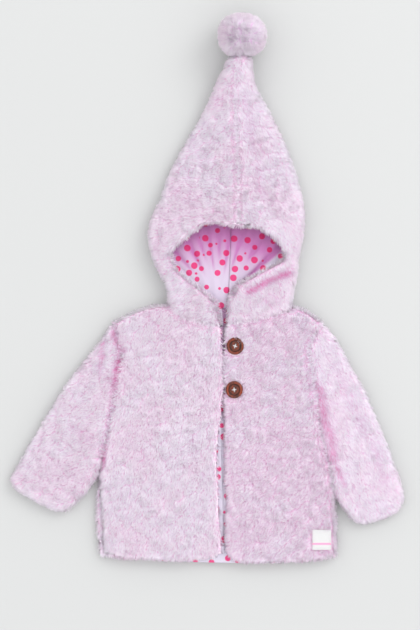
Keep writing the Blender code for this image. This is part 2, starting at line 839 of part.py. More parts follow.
# How far the lining shows past the edge of the face opening.
LINING_ROLL = {
    "right": table(
        "v roll",
        (0.5, 0),
        (0.6, 0),
        (0.77, 1),
        (0.82, 2),
        (0.86, 6),
        (0.93, 9),
        (0.975, 7),
        (1, 3),
    ),
    "left": table(
        "v roll",
        (0.5, 0),
        (0.6, 0),
        (0.8, 1),
        (0.845, 4),
        (0.88, 9),
        (0.92, 6),
        (0.95, 2),
        (1, 1.5),
    ),
}
# Pleats fan out from the nape. share runs from the back seam to the side fold.
PLEATS = {
    "right": table(
        "share rise",
        (0, 0.6),
        (0.08, 2.2),
        (0.16, 0.2),
        (0.25, 2.8),
        (0.33, 0.4),
        (0.43, 2.4),
        (0.52, 0),
        (0.62, 2.6),
        (0.71, 0.2),
        (0.8, 1.6),
        (0.88, 0),
        (1, 0),
    ),
    "left": table(
        "share rise",
        (0, 0.6),
        (0.1, 2.6),
        (0.19, 0.2),
        (0.29, 2.2),
        (0.38, 0.2),
        (0.49, 3.0),
        (0.59, 0.2),
        (0.7, 2.2),
        (0.8, 0.2),
        (0.88, 0.8),
        (0.94, 0),
        (1, 0),
    ),
}


def make_hood_lining(side, material):
    """The lining of half the hood, inside its plush and pleated in the neck."""
    v = LINING_ROWS[:, None]
    rolls = LINING_ROLL[side]
    roll = smooth(rolls["v"], rolls["roll"])(v)
    pleats = PLEATS[side]
    faces = []
    for depth in (PLUSH + SEAM, PLUSH + SEAM + LINING):
        over = hood_layer(side, v, LINING_UPPER[None, :], depth + LINING_SLACK, True, roll)
        sag = np.minimum(roll, 3) * 0.5 * fade(v - 0.93, 0.05)
        over[..., 2] -= (1 - LINING_UPPER[None, :]) ** 3 * sag
        share = pleats["share"][::-1][None, 1:]
        under = hood_layer(side, v, share, depth, False)
        rise = pleats["rise"][::-1][None, 1:]
        spread = fade(np.maximum(0.66 - v, 0), 0.16) * fade(np.maximum(v - 0.975, 0), 0.025)
        under[..., 2] += rise * spread
        faces.append(np.concatenate([over, under], axis=1))
    return wall(f"hood_lining_{side}", faces[0], faces[1], material)


BODY_LINING_LEVELS = np.array([0, 0.068, 0.164, 0.31, 0.5, 0.63, 0.76, 0.88, 1])
FACING_SHOWS = table(
    "y past_edge",
    (147, 2.5),
    (128, 1.6),
    (110, 0.8),
    (60, 0.8),
    (20, 3.0),
    (-12, 5.2),
    (-60, 5.6),
    (-118, 4.4),
    (-148, 2.5),
)


def make_back_lining(material):
    """The body lining, lying on the back and moved out from its points."""
    x, y = back_grid()
    columns = range(0, x.shape[1], 2)
    rows = [int(np.argmin(np.abs(BACK_LEVELS - level))) for level in BODY_LINING_LEVELS]
    x, y = x[np.ix_(rows, columns)], y[np.ix_(rows, columns)]
    middle = (x[:, :1] + x[:, -1:]) / 2
    half = (x[:, -1:] - x[:, :1]) / 2
    tuck = SHOULDER_TUCK * fade(np.arange(len(rows))[:, None], 2)
    x = middle + (x - middle) * (half - BACK_LINING_INSET - tuck) / half
    shorter = np.where(np.abs(x - NAPE[0]) > NAPE_HALF, SEAM_TURN, 0)
    y = y.copy()
    y[0] -= shorter[0] + 3 * SEAM
    y[-1] -= LINING_HEM_SHOWS
    return wall(
        "back_lining",
        points(x, y, LINING_BASE + LINING),
        points(x, y, LINING_BASE),
        material,
    )


def make_facing(material):
    """The right front's own lining, rolled out past the front's edge."""
    share = front_shares("right")[[2, 1, 0]]
    x, y = front_point("right", share[None, :], LEVELS[:, None])
    shows = smooth(FACING_SHOWS["y"], FACING_SHOWS["past_edge"])(y[:, -1:])
    left = SIDES["left"]["front"]
    limit = smooth(left["y"], left["edge_x"])(y[:, -1:]) - 2 * SEAM
    past = np.minimum(x[:, -1:] + shows, limit)
    x = np.concatenate([x, (x[:, -1:] + past) / 2, past], axis=1)
    y = np.concatenate([y, y[:, -1:], y[:, -1:]], axis=1)
    lift = neck_lift("right", 0.0, LEVELS[:, None])
    base = LINING_BASE + LINING + SEAM + lift
    return wall(
        "front_right_facing",
        points(x, y, base + LINING),
        points(x, y, base),
        material,
    )


# ---------------------------------------------------------------- pompom


def cube_sphere(cells):
    """Quads of a cube blown up into a unit ball, as four directions each."""
    steps = np.tan(np.linspace(-math.pi / 4, math.pi / 4, cells + 1))
    for axis in range(3):
        for sign in (-1, 1):
            for i in range(cells):
                for j in range(cells):
                    quad = []
                    for a, b in ((0, 0), (1, 0), (1, 1), (0, 1)):
                        corner = [0.0, 0.0, 0.0]
                        corner[axis] = sign
                        corner[(axis + 1) % 3] = steps[i + a]
                        corner[(axis + 2) % 3] = steps[j + b]
                        quad.append(Vector(corner).normalized())
                    yield quad if sign > 0 else quad[::-1]


def make_pompom(material):
    """A ball whose face is drawn out into pointed locks, bare where the hood's tip is sewn on."""
    rng = np.random.default_rng(5)
    centre = Vector(POMPOM_CENTRE)
    sewn = (Vector(HOOD_TIP) - centre).normalized()
    bm = bmesh.new()
    for quad in cube_sphere(POMPOM_CELLS):
        corners = [bm.verts.new(mm(centre + d * POMPOM_CORE)) for d in quad]
        middle = sum(quad, Vector()).normalized()
        turn = math.degrees(middle.angle(sewn))
        if turn < POMPOM_BARE_ANGLE:
            bm.faces.new(corners)
            continue
        foot = [middle.lerp(d, LOCK_FOOT).normalized() * POMPOM_CORE for d in quad]
        ring = [bm.verts.new(mm(centre + p)) for p in foot]
        lean = Vector(rng.uniform(-LOCK_LEAN, LOCK_LEAN, 3))
        reach = POMPOM_CORE + POMPOM_PILE * rng.uniform(LOCK_SHORTEST, 1.0)
        tip = centre + (middle + lean).normalized() * reach
        tip.z = max(tip.z, POMPOM_FLOOR)
        point = bm.verts.new(mm(tip))
        for i in range(4):
            j = (i + 1) % 4
            bm.faces.new((corners[i], corners[j], ring[j], ring[i]))
            bm.faces.new((ring[i], ring[j], point))
    bmesh.ops.remove_doubles(bm, verts=bm.verts, dist=1e-6)
    bmesh.ops.triangulate(bm, faces=bm.faces)
    return new_object("pompom", bm, material)


# ---------------------------------------------------------------- buttons, loops, label


def height_on(target, x, y):
    """The height of an object's upper face at a point, in millimetres."""
    depsgraph = bpy.context.evaluated_depsgraph_get()
    tree = BVHTree.FromObject(target, depsgraph)
    hit = tree.ray_cast(Vector((mm(x), mm(y), 1)), Vector((0, 0, -1)))[0]
    return hit.z / mm(1)


def seat_height(front, centre):
    """The floor of a button's seat: below the lowest pile round the button's rim."""
    around = np.radians(np.arange(0, 360, 45))
    reach = SEAT_PROBE * BUTTON_DIAMETER / 2
    x = centre[0] + reach * np.cos(around)
    y = centre[1] + reach * np.sin(around)
    return min(height_on(front, a, b) for a, b in zip(x, y)) - SEAT_DEPTH


def keyhole(centre, radius, tab_reach, tab_half):
    """A circle with a straight tab towards -X, as an outline."""
    turn = math.asin(tab_half / radius)
    around = np.linspace(-math.pi + turn, math.pi - turn, 33)
    outline = [(centre[0] + radius * math.cos(a), centre[1] + radius * math.sin(a)) for a in around]
    left = centre[0] - tab_reach
    return outline + [(left, centre[1] + tab_half), (left, centre[1] - tab_half)]


def cut_seat(front, name, centre, floor):
    """Presses a button's seat, with room for its loop, into the pile."""
    radius = BUTTON_DIAMETER / 2 + SEAT_CLEARANCE
    tab_half = LOOP_RADIUS + LOOP_DIAMETER / 2 + SEAT_CLEARANCE
    outline = keyhole(centre, radius, SEAT_TAB, tab_half)
    bm = bmesh.new()
    base = bm.faces.new([bm.verts.new((mm(x), mm(y), mm(floor))) for x, y in outline])
    raised = bmesh.ops.extrude_face_region(bm, geom=[base])["geom"]
    top = [v for v in raised if isinstance(v, bmesh.types.BMVert)]
    bmesh.ops.translate(bm, verts=top, vec=(0, 0, mm(SEAT_CUT_HEIGHT)))
    cutter = new_object(f"seat_{name}", bm, front.data.materials[0])
    cutter.hide_render = True
    cutter.display_type = "WIRE"
    cut = front.modifiers.new(f"seat_{name}", "BOOLEAN")
    cut.operation = "DIFFERENCE"
    cut.solver = "EXACT"
    cut.object = cutter


def make_loop(name, centre, floor, material):
    """A round elastic from the right front's edge, round the button's thread and back."""
    edge = SIDES["right"]["front"]
    start = float(smooth(edge["y"], edge["edge_x"])(centre[1])) + LOOP_GAP
    around = np.linspace(-math.pi / 2, math.pi / 2, 7)
    middle = Vector(centre)
    bend = [middle + LOOP_RADIUS * Vector((math.cos(a), math.sin(a))) for a in around]
    legs = np.linspace(start, centre[0], 4)[:-1]
    route = [(x, centre[1] - LOOP_RADIUS) for x in legs] + bend
    route += [(x, centre[1] + LOOP_RADIUS) for x in legs[::-1]]
    curve = bpy.data.curves.new(f"button_loop_{name}", "CURVE")
    curve.dimensions = "3D"
    curve.bevel_depth = mm(LOOP_DIAMETER / 2)
    curve.bevel_resolution = 1
    curve.use_fill_caps = True
    spline = curve.splines.new("POLY")
    spline.points.add(len(route) - 1)
    z = floor + SEAM + LOOP_DIAMETER / 2
    for point, (x, y) in zip(spline.points, route):
        point.co = (mm(x), mm(y), mm(z), 1)
    curve.materials.append(material)
    made = bpy.data.objects.new(f"button_loop_{name}", curve)
    bpy.context.scene.collection.objects.link(made)
    return made


# Half of the button's section: distance from the centre and height over its underside.
BUTTON_SECTION = table(
    "radius height",
    (0, 0),
    (0.62, 0),
    (0.88, 0.08),
    (0.985, 0.3),
    (1, 0.55),
    (0.975, 0.85),
    (0.9, 1),
    (0.8, 0.93),
    (0.735, 0.72),
    (0.66, 0.66),
    (0, 0.6),
)
BUTTON_SEGMENTS = 24


def make_button(name, centre, floor, material):
    """A turned wooden button with a raised rim and four holes."""
    radius = BUTTON_DIAMETER / 2
    bm = bmesh.new()
    section = zip(BUTTON_SECTION["radius"], BUTTON_SECTION["height"])
    line = [bm.verts.new((mm(r * radius), 0, mm(h * BUTTON_THICKNESS))) for r, h in section]
    for a, b in zip(line, line[1:]):
        bm.edges.new((a, b))
    bmesh.ops.spin(
        bm,
        geom=bm.verts[:] + bm.edges[:],
        axis=(0, 0, 1),
        cent=(0, 0, 0),
        angle=2 * math.pi,
        steps=BUTTON_SEGMENTS,
    )
    bmesh.ops.remove_doubles(bm, verts=bm.verts, dist=1e-6)
    made = new_object(f"button_{name}", bm, material)
    made.data.set_sharp_from_angle(angle=math.radians(50))
    made.location = (mm(centre[0]), mm(centre[1]), mm(floor + 2 * SEAM + LOOP_DIAMETER))
    drills = bmesh.new()
    for i in range(4):
        a = math.radians(45 + 90 * i)
        at = Vector((math.cos(a), math.sin(a), 0)) * mm(HOLE_SPACING / math.sqrt(2))
        bmesh.ops.create_cone(
            drills,
            cap_ends=True,
            segments=8,
            radius1=mm(HOLE_DIAMETER / 2),
            radius2=mm(HOLE_DIAMETER / 2),
            depth=mm(4 * BUTTON_THICKNESS),
            matrix=Matrix.Translation(at),
        )
    drill = new_object(f"holes_{name}", drills, material)
    drill.location = made.location
    drill.hide_render = True
    drill.display_type = "WIRE"
    cut = made.modifiers.new("holes", "BOOLEAN")
    cut.operation = "DIFFERENCE"
    cut.solver = "EXACT"
    cut.object = drill
    return made


def make_label(front, material):
    """A small woven square lying on the left front near its hem."""
    steps = np.linspace(-0.5, 0.5, 6)
    x, y = np.meshgrid(LABEL_CENTRE[0] + steps * LABEL_WIDTH, LABEL_CENTRE[1] - steps * LABEL_HEIGHT)
    tree = BVHTree.FromObject(front, bpy.context.evaluated_depsgraph_get())

    def top(a, b):
        hit = tree.ray_cast(Vector((mm(a), mm(b), 1)), Vector((0, 0, -1)))[0]
        return hit.z / mm(1) if hit else 0.0

    reach = LABEL_WIDTH / 10
    near = (-reach, 0.0, reach)
    height = np.zeros_like(x)
    for place in np.ndindex(x.shape):
        height[place] = max(top(x[place] + i, y[place] + j) for i in near for j in near)
    base = height + SEAM
    return wall("label", points(x, y, base + LABEL_THICKNESS), points(x, y, base), material)


# ---------------------------------------------------------------- materials and assembly


def make_material(name, colour, roughness):
    material = bpy.data.materials.new(name)
    material.use_nodes = True
    shader = material.node_tree.nodes["Principled BSDF"]
    shader.inputs["Base Color"].default_value = (*colour, 1)
    shader.inputs["Roughness"].default_value = roughness
    shader.inputs["Metallic"].default_value = 0
    return material


COLOURS = {
    "back": ((0.80, 0.56, 0.66), 0.95),
    "front_right": ((0.84, 0.62, 0.71), 0.95),
    "front_left": ((0.84, 0.61, 0.70), 0.95),
    "sleeve_right": ((0.83, 0.60, 0.69), 0.95),
    "sleeve_left": ((0.83, 0.60, 0.70), 0.95),
    "hood_right": ((0.84, 0.60, 0.70), 0.95),
    "hood_left": ((0.82, 0.58, 0.68), 0.95),
    "pompom": ((0.84, 0.58, 0.68), 0.95),
    "hood_lining_right": ((0.90, 0.84, 0.87), 0.8),
    "hood_lining_left": ((0.89, 0.83, 0.86), 0.8),
    "back_lining": ((0.88, 0.82, 0.85), 0.8),
    "front_right_facing": ((0.90, 0.85, 0.87), 0.8),
    "button_upper": ((0.21, 0.07, 0.025), 0.35),
    "button_lower": ((0.20, 0.065, 0.022), 0.35),
    "button_loop_upper": ((0.88, 0.87, 0.87), 0.7),
    "button_loop_lower": ((0.88, 0.86, 0.87), 0.7),
    "label": ((0.88, 0.88, 0.88), 0.7),
}


def main():
    for old in list(bpy.data.objects):
        bpy.data.objects.remove(old)
    materials = {name: make_material(name, *look) for name, look in COLOURS.items()}
    make_back(materials["back"])
    make_back_lining(materials["back_lining"])
    make_facing(materials["front_right_facing"])
    for side in ("right", "left"):
        make_sleeve(side, materials[f"sleeve_{side}"])
        make_hood(side, materials[f"hood_{side}"])
        make_hood_lining(side, materials[f"hood_lining_{side}"])
    fronts = {side: make_front(side, materials[f"front_{side}"]) for side in ("right", "left")}
    make_label(fronts["left"], materials["label"])
    floors = {name: seat_height(fronts["left"], at) for name, at in BUTTON_CENTRES.items()}
    for name, centre in BUTTON_CENTRES.items():
        cut_seat(fronts["left"], name, centre, floors[name])
        make_button(name, centre, floors[name], materials[f"button_{name}"])
        make_loop(name, centre, floors[name], materials[f"button_loop_{name}"])
    make_pompom(materials["pompom"])


main()
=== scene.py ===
"""Finish of a baby's plush jacket with a pointed hood, laid flat on a pale floor.

The plush panels are thin skins on the frame's own forms, with their pile standing on them as
pointed locks. The dotted cotton, the wooden buttons, the elastics, the label and the pompom are
pieces of their own. Everything is in metres, in the frame's own place.
"""

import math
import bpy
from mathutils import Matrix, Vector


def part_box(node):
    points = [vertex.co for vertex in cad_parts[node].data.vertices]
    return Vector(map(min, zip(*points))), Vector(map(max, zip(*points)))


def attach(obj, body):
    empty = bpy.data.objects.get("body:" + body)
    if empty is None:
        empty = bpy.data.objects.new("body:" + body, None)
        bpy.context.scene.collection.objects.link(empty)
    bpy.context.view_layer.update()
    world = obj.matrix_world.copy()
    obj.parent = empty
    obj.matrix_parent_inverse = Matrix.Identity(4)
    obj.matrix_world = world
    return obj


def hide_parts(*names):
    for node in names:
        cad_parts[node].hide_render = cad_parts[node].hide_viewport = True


bl_info = {
    "name": "Plush Hooded Jacket",
    "version": (1, 0, 0),
    "blender": (4, 5, 0),
    "location": "View3D > Sidebar > Jacket",
    "description": "Builds the finish of a lined plush jacket around its frame",
    "category": "Object",
}

import bmesh
import bpy
import numpy as np
from mathutils import Matrix, Vector
from mathutils.bvhtree import BVHTree

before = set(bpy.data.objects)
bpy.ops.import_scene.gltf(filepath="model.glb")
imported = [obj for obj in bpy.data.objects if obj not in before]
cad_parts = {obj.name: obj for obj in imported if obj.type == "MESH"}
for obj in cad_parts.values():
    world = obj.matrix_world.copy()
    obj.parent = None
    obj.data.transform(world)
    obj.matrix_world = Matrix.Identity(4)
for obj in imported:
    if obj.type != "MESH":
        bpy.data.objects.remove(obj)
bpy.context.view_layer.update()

MM = 0.001
FLOOR_CLEARANCE = 0.1 * MM
PLUSH_NODES = (
    "back",
    "front_right",
    "front_left",
    "sleeve_right",
    "sleeve_left",
    "hood_right",
    "hood_left",
)
COTTON_NODES = ("hood_lining_right", "hood_lining_left", "back_lining", "front_right_facing")


def table(columns, *rows):
    """Rows of numbers as one array for each named column."""
    return dict(zip(columns.split(), np.array(rows, float).T))


def linear(red, green, blue):
    """A screen colour of 0 to 255 as a linear one, with alpha."""
    shares = np.array([red, green, blue]) / 255
    straight = np.where(shares <= 0.04045, shares / 12.92, ((shares + 0.055) / 1.055) ** 2.4)
    return (*straight.tolist(), 1.0)


# ---------------------------------------------------------------- settings


def length_setting(name, description, millimetres):
    """A setting that is a length."""
    return bpy.props.FloatProperty(
        name=name,
        description=description,
        default=millimetres * MM,
        unit="LENGTH",
        subtype="DISTANCE",
    )


def colour_setting(name, description, *levels):
    """A setting that is a colour, from screen levels of 0 to 255."""
    return bpy.props.FloatVectorProperty(
        name=name, description=description, default=linear(*levels), size=4, subtype="COLOR"
    )


class JACKET_PG_plush(bpy.types.PropertyGroup):
    skin_cell: length_setting("Skin cell", "Size of the faces of the knitted ground", 3.2)
    ground_thickness: length_setting("Ground thickness", "Thickness of the knitted ground", 1.5)
    pile_height: length_setting("Pile height", "How far the pile stands out of the ground", 4.0)
    lock_length: length_setting("Lock length", "Length of one lock of pile", 7.2)
    lock_width: length_setting("Lock width", "Width of one lock at its widest", 1.4)
    locks_per_cm2: bpy.props.FloatProperty(
        name="Locks per cm2", description="Locks of pile on a square centimetre", default=110.0
    )
    # Tips pale and roots deeper pink: partly the pile's own colour, partly painted shade that
    # stands for the pink deep in the pile.
    tip_colour: colour_setting("Tip colour", "Colour of the pile's tips", 254, 244, 255)
    root_colour: colour_setting("Root colour", "Colour deep in the pile", 248, 196, 232)
    pompom_tip: colour_setting("Pompom tip colour", "Colour of the pompom's tips", 255, 244, 255)
    pompom_root: colour_setting("Pompom root colour", "Colour deep in the pompom", 255, 219, 251)
    seed: bpy.props.IntProperty(
        name="Seed", description="Start of the random draws for the pile", default=11
    )


class JACKET_PG_lining(bpy.types.PropertyGroup):
    cloth_colour: colour_setting("Cotton colour", "Ground colour of the lining", 202, 196, 212)
    dot_colour: colour_setting("Dot colour", "Colour of the printed dots", 214, 44, 116)
    large_dot: length_setting("Large dot", "Diameter of the largest dots", 8.8)
    small_dot: length_setting("Small dot", "Diameter of the smallest dots", 4.0)


class JACKET_PG_trim(bpy.types.PropertyGroup):
    wood_colour: colour_setting("Wood colour", "Colour of the buttons' wood", 128, 46, 12)
    wood_dark: colour_setting("Dark grain", "Colour of the buttons' grain and grooves", 44, 14, 5)
    thread_colour: colour_setting("Thread colour", "Colour of thread and elastics", 214, 212, 214)
    stripe_colour: colour_setting("Label stripe", "Colour of the label's stripe", 226, 150, 186)


class JACKET_PG_stage(bpy.types.PropertyGroup):
    camera_height: length_setting("Camera height", "Height of the camera over the floor", 2400)
    floor_colour: colour_setting("Floor colour", "Colour of the pale floor", 189, 190, 190)
    key_power: bpy.props.FloatProperty(
        name="Window light", description="Power of the large soft light", default=58.0, unit="POWER"
    )
    sky_strength: bpy.props.FloatProperty(
        name="Room light", description="Strength of the even light from all round", default=1.40
    )


# ---------------------------------------------------------------- nodes


class Graph:
    """Adds nodes to a tree, with their settings and inputs in one call."""

    def __init__(self, tree, principled=None):
        self.tree = tree
        self.principled = principled

    def add(self, kind, inputs=None, **settings):
        node = self.tree.nodes.new(kind)
        for name, value in settings.items():
            setattr(node, name, value)
        for key, value in (inputs or {}).items():
            self.join(value, node.inputs[key])
        return node

    def join(self, value, socket):
        if isinstance(value, bpy.types.NodeSocket):
            self.tree.links.new(value, socket)
        else:
            socket.default_value = value

    def feed(self, label, value):
        """Joins a value to the material's Principled shader."""
        self.join(value, self.principled.inputs[label])

    def math(self, operation, a, b=0.0, c=None):
        node = self.add("ShaderNodeMath", {0: a, 1: b}, operation=operation)
        if c is not None:
            self.join(c, node.inputs[2])
        return node.outputs[0]

    def mix(self, factor, a, b, blend="MIX"):
        node = self.add("ShaderNodeMix", data_type="RGBA", blend_type=blend, clamp_factor=True)
        for value, index in ((factor, 0), (a, 6), (b, 7)):
            self.join(value, node.inputs[index])
        return node.outputs[2]

    def step(self, value, low, high, start=0.0, end=1.0):
        node = self.add("ShaderNodeMapRange", {0: value, 1: low, 2: high, 3: start, 4: end})
        node.interpolation_type = "SMOOTHSTEP"
        return node.outputs[0]

    def vector(self, operation, a, b=None, scale=None):
        node = self.add("ShaderNodeVectorMath", {0: a}, operation=operation)
        if b is not None:
            self.join(b, node.inputs[1])
        if scale is not None:
            self.join(scale, node.inputs["Scale"])
        return node.outputs["Value"] if operation == "DOT_PRODUCT" else node.outputs[0]

    def noise(self, where, scale, detail=2.0, roughness=0.5):
        """The level and the colour of a soft noise."""
        inputs = {"Vector": where, "Scale": scale, "Detail": detail, "Roughness": roughness}
        return self.add("ShaderNodeTexNoise", inputs).outputs[:2]

    def place(self):
        """Where a shaded point is on its piece."""
        return self.add("ShaderNodeTexCoord").outputs["Object"]

    def own_map(self):
        """The two directions of the piece's own UV map."""
        uv = self.add("ShaderNodeUVMap", uv_map="OFBake").outputs[0]
        return self.add("ShaderNodeSeparateXYZ", {0: uv}).outputs[:2]

    def painted(self, name):
        """A value that the mesh holds, for a material."""
        return self.add("ShaderNodeAttribute", attribute_name=name).outputs["Fac"]

    def bump(self, height, strength, millimetres):
        """Raises the material's surface by this height."""
        inputs = {"Strength": strength, "Distance": millimetres * MM, "Height": height}
        self.feed("Normal", self.add("ShaderNodeBump", inputs).outputs[0])

    def held(self, name, kind="FLOAT"):
        """A value that the mesh holds, for geometry."""
        node = self.add("GeometryNodeInputNamedAttribute", {"Name": name}, data_type=kind)
        return node.outputs[0]

    def hold(self, mesh, name, value, kind, domain):
        """The geometry with this value held under a name."""
        inputs = {"Geometry": mesh, "Name": name, "Value": value}
        node = self.add("GeometryNodeStoreNamedAttribute", inputs, data_type=kind, domain=domain)
        return node.outputs[0]

    def draw(self, low, high, seed):
        """A random value for each element."""
        inputs = {2: low, 3: high, "Seed": seed}
        return self.add("FunctionNodeRandomValue", inputs, data_type="FLOAT").outputs[1]


def shader(name, roughness=0.8, **constants):
    """A new material and its graph, with these constants on its Principled shader."""
    material = bpy.data.materials.new(name)
    material.use_nodes = True
    graph = Graph(material.node_tree, material.node_tree.nodes["Principled BSDF"])
    graph.feed("Roughness", roughness)
    for label, value in constants.items():
        graph.feed(label.replace("_", " ").title().replace("Ior", "IOR"), value)
    return material, graph


def cached(name, make, kept="materials"):
    """The material or node group of this name, made the first time that it is asked for."""
    return getattr(bpy.data, kept).get(name) or make(name)


def new_tree(name, kind, inputs, outputs):
    """A new node tree with named sockets, its graph and its two ends."""
    tree = bpy.data.node_groups.new(name, kind)
    for way, sockets in (("INPUT", inputs), ("OUTPUT", outputs)):
        for label, sort, *default in sockets:
            socket = tree.interface.new_socket(label, in_out=way, socket_type="NodeSocket" + sort)
            if default:
                socket.default_value = default[0]
    graph = Graph(tree)
    return graph, graph.add("NodeGroupInput"), graph.add("NodeGroupOutput")


def weave_group(name):
    """Fine crossed threads, as a height and a shade that change over the surface."""
    inputs = (("Threads per metre", "Float", 2200.0), ("Unevenness", "Float", 0.4))
    outputs = (("Height", "Float"), ("Shade", "Float"))
    graph, start, end = new_tree(name, "ShaderNodeTree", inputs, outputs)
    where = graph.place()
    axes = graph.add("ShaderNodeSeparateXYZ", {0: where})
    waves = []
    for axis in "XY":
        turns = graph.math("MULTIPLY", axes.outputs[axis], start.outputs["Threads per metre"])
        waves.append(graph.math("SINE", graph.math("MULTIPLY", turns, math.pi)))
    crossed = graph.math("MULTIPLY", waves[0], waves[1])
    slub, _ = graph.noise(where, 900.0)
    uneven = graph.math("MULTIPLY", slub, start.outputs["Unevenness"])
    height = graph.math("ADD", graph.math("MULTIPLY", crossed, 0.5), uneven)
    graph.join(height, end.inputs["Height"])
    graph.join(graph.step(height, -0.4, 0.9), end.inputs["Shade"])
    return graph.tree


def add_weave(graph):
    """The weave's node in a material."""
    return graph.add("ShaderNodeGroup", node_tree=cached("Weave", weave_group, "node_groups"))


# ---------------------------------------------------------------- materials


# Multiplied into the pile: a warm and a cool patch, and a lock that lies in shade.
WARM_PATCH = linear(255, 240, 250)
COOL_PATCH = linear(244, 244, 253)
SHADED_LOCK = linear(232, 214, 234)
# The pink deep in the creases and seams, on the ground and on the locks: partly the ground's own
# pink where the pile parts, partly painted shade.
DEEP_GROUND_AND_SHADE = linear(228, 96, 166)
DEEP_LOCK_AND_SHADE = linear(232, 112, 184)
COTTON_SHADE = linear(186, 172, 190)
# Painted pink shade on the cotton.
COTTON_PAINTED_SHADE = linear(226, 146, 202)
TAPE_COLOURS = (linear(196, 196, 198), linear(210, 210, 209))
WEAVE_SHOWS = 0.12
# The printed dots, large and small: pitch in mm, how far they stray and what share is left out.
DOT_GRIDS = ((17.5, 0.6, 0.0), (11.0, 0.6, 0.8))


def plush_ground(name):
    """The knitted ground under the pile: deep pink, with short fluff between the locks."""
    settings = bpy.context.scene.jacket_plush
    material, graph = shader(name, 0.95, sheen_weight=0.3, sheen_roughness=0.6)
    root, tip = tuple(settings.root_colour), tuple(settings.tip_colour)
    where = graph.place()
    fluff, _ = graph.noise(where, 420.0, 4.0)
    tufts = graph.add("ShaderNodeTexVoronoi", {"Vector": where, "Scale": 240.0})
    fluffy = graph.mix(graph.step(fluff, 0.3, 0.65), graph.mix(0.6, root, tip), tip)
    # Painted pink shade in the creases, seams and lips, from the crease mark, over the ground's own
    # colour.
    deep = graph.math("MULTIPLY", graph.painted("crease"), 0.8)
    graph.feed("Base Color", graph.mix(deep, fluffy, DEEP_GROUND_AND_SHADE))
    graph.bump(graph.math("SUBTRACT", fluff, tufts.outputs["Distance"]), 0.7, 1.5)
    return material


def plush_pile(name):
    """The pile of the panels."""
    settings = bpy.context.scene.jacket_plush
    return lock_material(name, tuple(settings.root_colour), tuple(settings.tip_colour))


def pompom_pile(name):
    """The pompom's pile, of a deeper lilac."""
    settings = bpy.context.scene.jacket_plush
    return lock_material(name, tuple(settings.pompom_root), tuple(settings.pompom_tip))


def lock_material(name, root, tip):
    """One lock: from root to tip along V. U holds its own shade up to 0.4, and more where the
    crease mark paints pink shade.
    """
    material, graph = shader(
        name, 0.9, sheen_weight=0.3, sheen_roughness=0.5, specular_ior_level=0.25
    )
    shade, along = graph.own_map()
    # Deeper pink towards the root: partly the pile's own colour, partly painted shade deep in the
    # pile.
    body = graph.mix(graph.step(along, -0.05, 0.5), root, tip)
    patches, _ = graph.noise(graph.place(), 22.0)
    warm = graph.mix(graph.step(patches, 0.42, 0.62, 0.0, 0.4), body, WARM_PATCH, "MULTIPLY")
    cool = graph.mix(graph.step(patches, 0.56, 0.38, 0.0, 0.2), warm, COOL_PATCH, "MULTIPLY")
    # Locks in a crease also take the shaded tone and then the deep pink: painted shade from the
    # crease mark.
    dark = graph.mix(graph.step(shade, 0.2, 0.36, 0.0, 0.5), cool, SHADED_LOCK, "MULTIPLY")
    graph.feed("Base Color", graph.mix(graph.step(shade, 0.3, 1.0, 0.0, 0.85), dark, DEEP_LOCK_AND_SHADE))
    return material


def dotted_cotton(name):
    """White cotton with pink dots of two kinds, printed on jittered grids."""
    settings = bpy.context.scene.jacket_lining
    material, graph = shader(name, 0.85, sheen_weight=0.1)
    flat = graph.vector("MULTIPLY", graph.place(), (1.0, 1.0, 0.0))
    _, wander = graph.noise(flat, 60.0, 1.0)
    nudge = graph.vector("SCALE", graph.vector("SUBTRACT", wander, (0.5,) * 3), scale=0.0012)
    place = graph.vector("ADD", flat, nudge)
    printed = None
    largest_dots = (settings.large_dot, settings.small_dot)
    for number, ((pitch, jitter, rarity), largest) in enumerate(zip(DOT_GRIDS, largest_dots)):
        turned = graph.add("ShaderNodeMapping", {"Vector": place})
        turned.inputs["Rotation"].default_value = (0, 0, 0.4 + 0.5 * number)
        turned.inputs["Location"].default_value = (0.004, 0.003 * number, 0)
        dots = graph.add(
            "ShaderNodeTexVoronoi",
            {"Vector": turned.outputs[0], "Scale": 1000.0 / pitch, "Randomness": jitter},
            voronoi_dimensions="2D",
        )
        draw = graph.add("ShaderNodeSeparateXYZ", {0: dots.outputs["Color"]})
        radius = graph.step(draw.outputs["X"], 0.0, 1.0, 0.7, 1.0)
        radius = graph.math("MULTIPLY", radius, largest / (2 * pitch * MM))
        inside = graph.math("SUBTRACT", radius, dots.outputs["Distance"])
        mask = graph.step(inside, -0.012, 0.012)
        if printed is None:
            printed = mask
            # The small dots keep clear of the large ones.
            clear = graph.step(graph.math("MULTIPLY", inside, -pitch), 2.6, 2.8)
        else:
            kept = graph.math("GREATER_THAN", draw.outputs["Y"], rarity)
            mask = graph.math("MULTIPLY", graph.math("MULTIPLY", mask, kept), clear)
            printed = graph.math("MAXIMUM", printed, mask)
    weave = add_weave(graph)
    cloth = tuple(settings.cloth_colour)
    woven = graph.math("MULTIPLY", weave.outputs["Shade"], WEAVE_SHOWS)
    ground = graph.mix(woven, cloth, COTTON_SHADE)
    ink = graph.mix(woven, tuple(settings.dot_colour), cloth)
    cotton = graph.mix(printed, ground, ink)
    # Painted pink shade, multiplied over the cotton where the mesh holds it.
    painted_shade = graph.mix(1.0, cotton, COTTON_PAINTED_SHADE, blend="MULTIPLY")
    graph.feed("Base Color", graph.mix(graph.painted("painted_shade"), cotton, painted_shade))
    graph.bump(weave.outputs["Height"], 0.35, 0.2)
    return material


